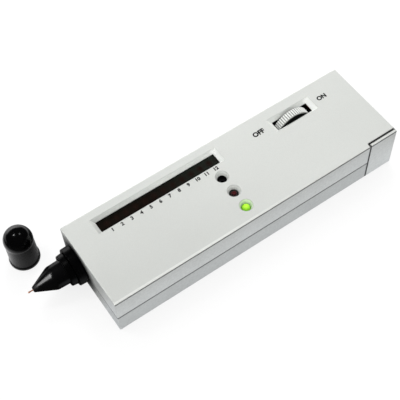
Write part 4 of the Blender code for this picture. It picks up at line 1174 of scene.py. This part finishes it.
light = {
    "ambient": (0.66, 1.06),
    "mirrored": 0.03,
    "wall": 3.0,
    "wallTurn": 86,
    "wallHalfWidth": (0.78, 0.96),
    "wallTop": (0.16, 0.36),
    "coneOnly": ("nosePanel", "shoulderLamp"),
    "lamps": (
        # name, what it points at, direction and height in degrees, distance, size, brightness
        # and whether gloss shows it
        ("nosePanel", (-0.113, 0.011, 0.018), 172, 45, 0.6, (0.36, 0.16), 28.0, True),
        ("shoulderLamp", (-0.108, 0.011, 0.020), 167, 54, 0.6, (0.26, 0.10), 44.0, True),
        ("overheadLamp", (-0.113, 0.041, 0.027), 127, 69, 1.2, (0.20, 0.20), 14.0, True),
        ("rearLamp", (-0.111, 0.039, 0.027), 8, 64, 1.2, (0.16, 0.16), 7.0, True),
        ("rearFill", (0.10, 0.03, 0.02), 70, 50, 0.6, (0.30, 0.30), 5.7, False),
        ("frontFill", (0.0, 0.0, 0.03), 190, 18, 1.0, (0.40, 0.40), 1.9, False),
        ("nearFill", (0.0, -0.0275, 0.015), 268, 14, 0.6, (0.30, 0.30), 1.2, False),
    ),
}


def makeWorld():
    world = bpy.data.worlds.new("studio")
    bpy.context.scene.world = world
    world.use_nodes = True
    tree = world.node_tree
    background = tree.nodes["Background"]
    background.inputs["Color"].default_value = (1, 1, 1, 1)
    path = tree.nodes.new("ShaderNodeLightPath")
    direction = tree.nodes.new("ShaderNodeTexCoord")
    rise = splitVector(tree, direction.outputs["Generated"])["Z"]
    ambient = spread(tree, rise, *light["ambient"], 0, 1)
    # gloss and glass show a dark room with a bright wall on the far side
    turn = math.radians(light["wallTurn"])
    facing = vectorNode(tree, "DOT_PRODUCT", direction.outputs["Generated"], (math.cos(turn), math.sin(turn), 0))
    wall = product(
        tree, spread(tree, facing, 0, light["wall"], *light["wallHalfWidth"]),
        spread(tree, rise, 1, 0, *light["wallTop"]),
    )
    mirrored = mathNode(tree, "ADD", wall, light["mirrored"])
    glossy = largest(tree, path.outputs["Is Glossy Ray"], path.outputs["Is Transmission Ray"])
    blend = tree.nodes.new("ShaderNodeMix")
    tree.links.new(glossy, blend.inputs[0])
    tree.links.new(ambient, blend.inputs[2])
    tree.links.new(mirrored, blend.inputs[3])
    strength = largest(tree, blend.outputs[0], path.outputs["Is Camera Ray"])
    tree.links.new(strength, background.inputs["Strength"])


def makeLamps():
    for name, aim, turn, height, distance, size, brightness, shown in light["lamps"]:
        lamp = bpy.data.lights.new(name, "AREA")
        lamp.shape = "RECTANGLE"
        lamp.size, lamp.size_y = size
        lamp.energy = brightness * math.pi * size[0] * size[1]
        obj = bpy.data.objects.new(name, lamp)
        bpy.context.scene.collection.objects.link(obj)
        turn, height = math.radians(turn), math.radians(height)
        towards = Vector((math.cos(turn) * math.cos(height), math.sin(turn) * math.cos(height), math.sin(height)))
        obj.location = Vector(aim) + towards * distance
        obj.rotation_euler = towards.to_track_quat("Z", "Y").to_euler()
        obj.visible_camera = False
        obj.visible_glossy = shown
        if name in light["coneOnly"]:
            receivers = bpy.data.collections.new(name + "Lights")
            for piece in ("noseCone", "probePin"):
                receivers.objects.link(bpy.data.objects[piece])
            obj.light_linking.receiver_collection = receivers


# camera: fitted to the photograph

view = {
    "place": (-0.159252, -0.220466, 0.441890),
    "forward": (0.28102467, 0.45082857, -0.84721823),
    "down": (-0.49375425, -0.6890745, -0.53045553),
    "lens": 82.162,
    "sensor": 36,
    "clip": (0.01, 20),
}


def makeCamera():
    lens = bpy.data.cameras.new("photoView")
    lens.lens = view["lens"]
    lens.sensor_width = view["sensor"]
    lens.clip_start, lens.clip_end = view["clip"]
    camera = bpy.data.objects.new("photoView", lens)
    bpy.context.scene.collection.objects.link(camera)
    back = -Vector(view["forward"]).normalized()
    up = -Vector(view["down"])
    across = up.cross(back).normalized()
    up = back.cross(across)
    turn = Matrix((across, up, back)).transposed().to_4x4()
    camera.matrix_world = Matrix.Translation(view["place"]) @ turn
    bpy.context.scene.camera = camera


makeFloor()
makeWorld()
makeLamps()
makeCamera()
bpy.context.scene.view_settings.view_transform = "Standard"
print("Floor, lamps and camera set")
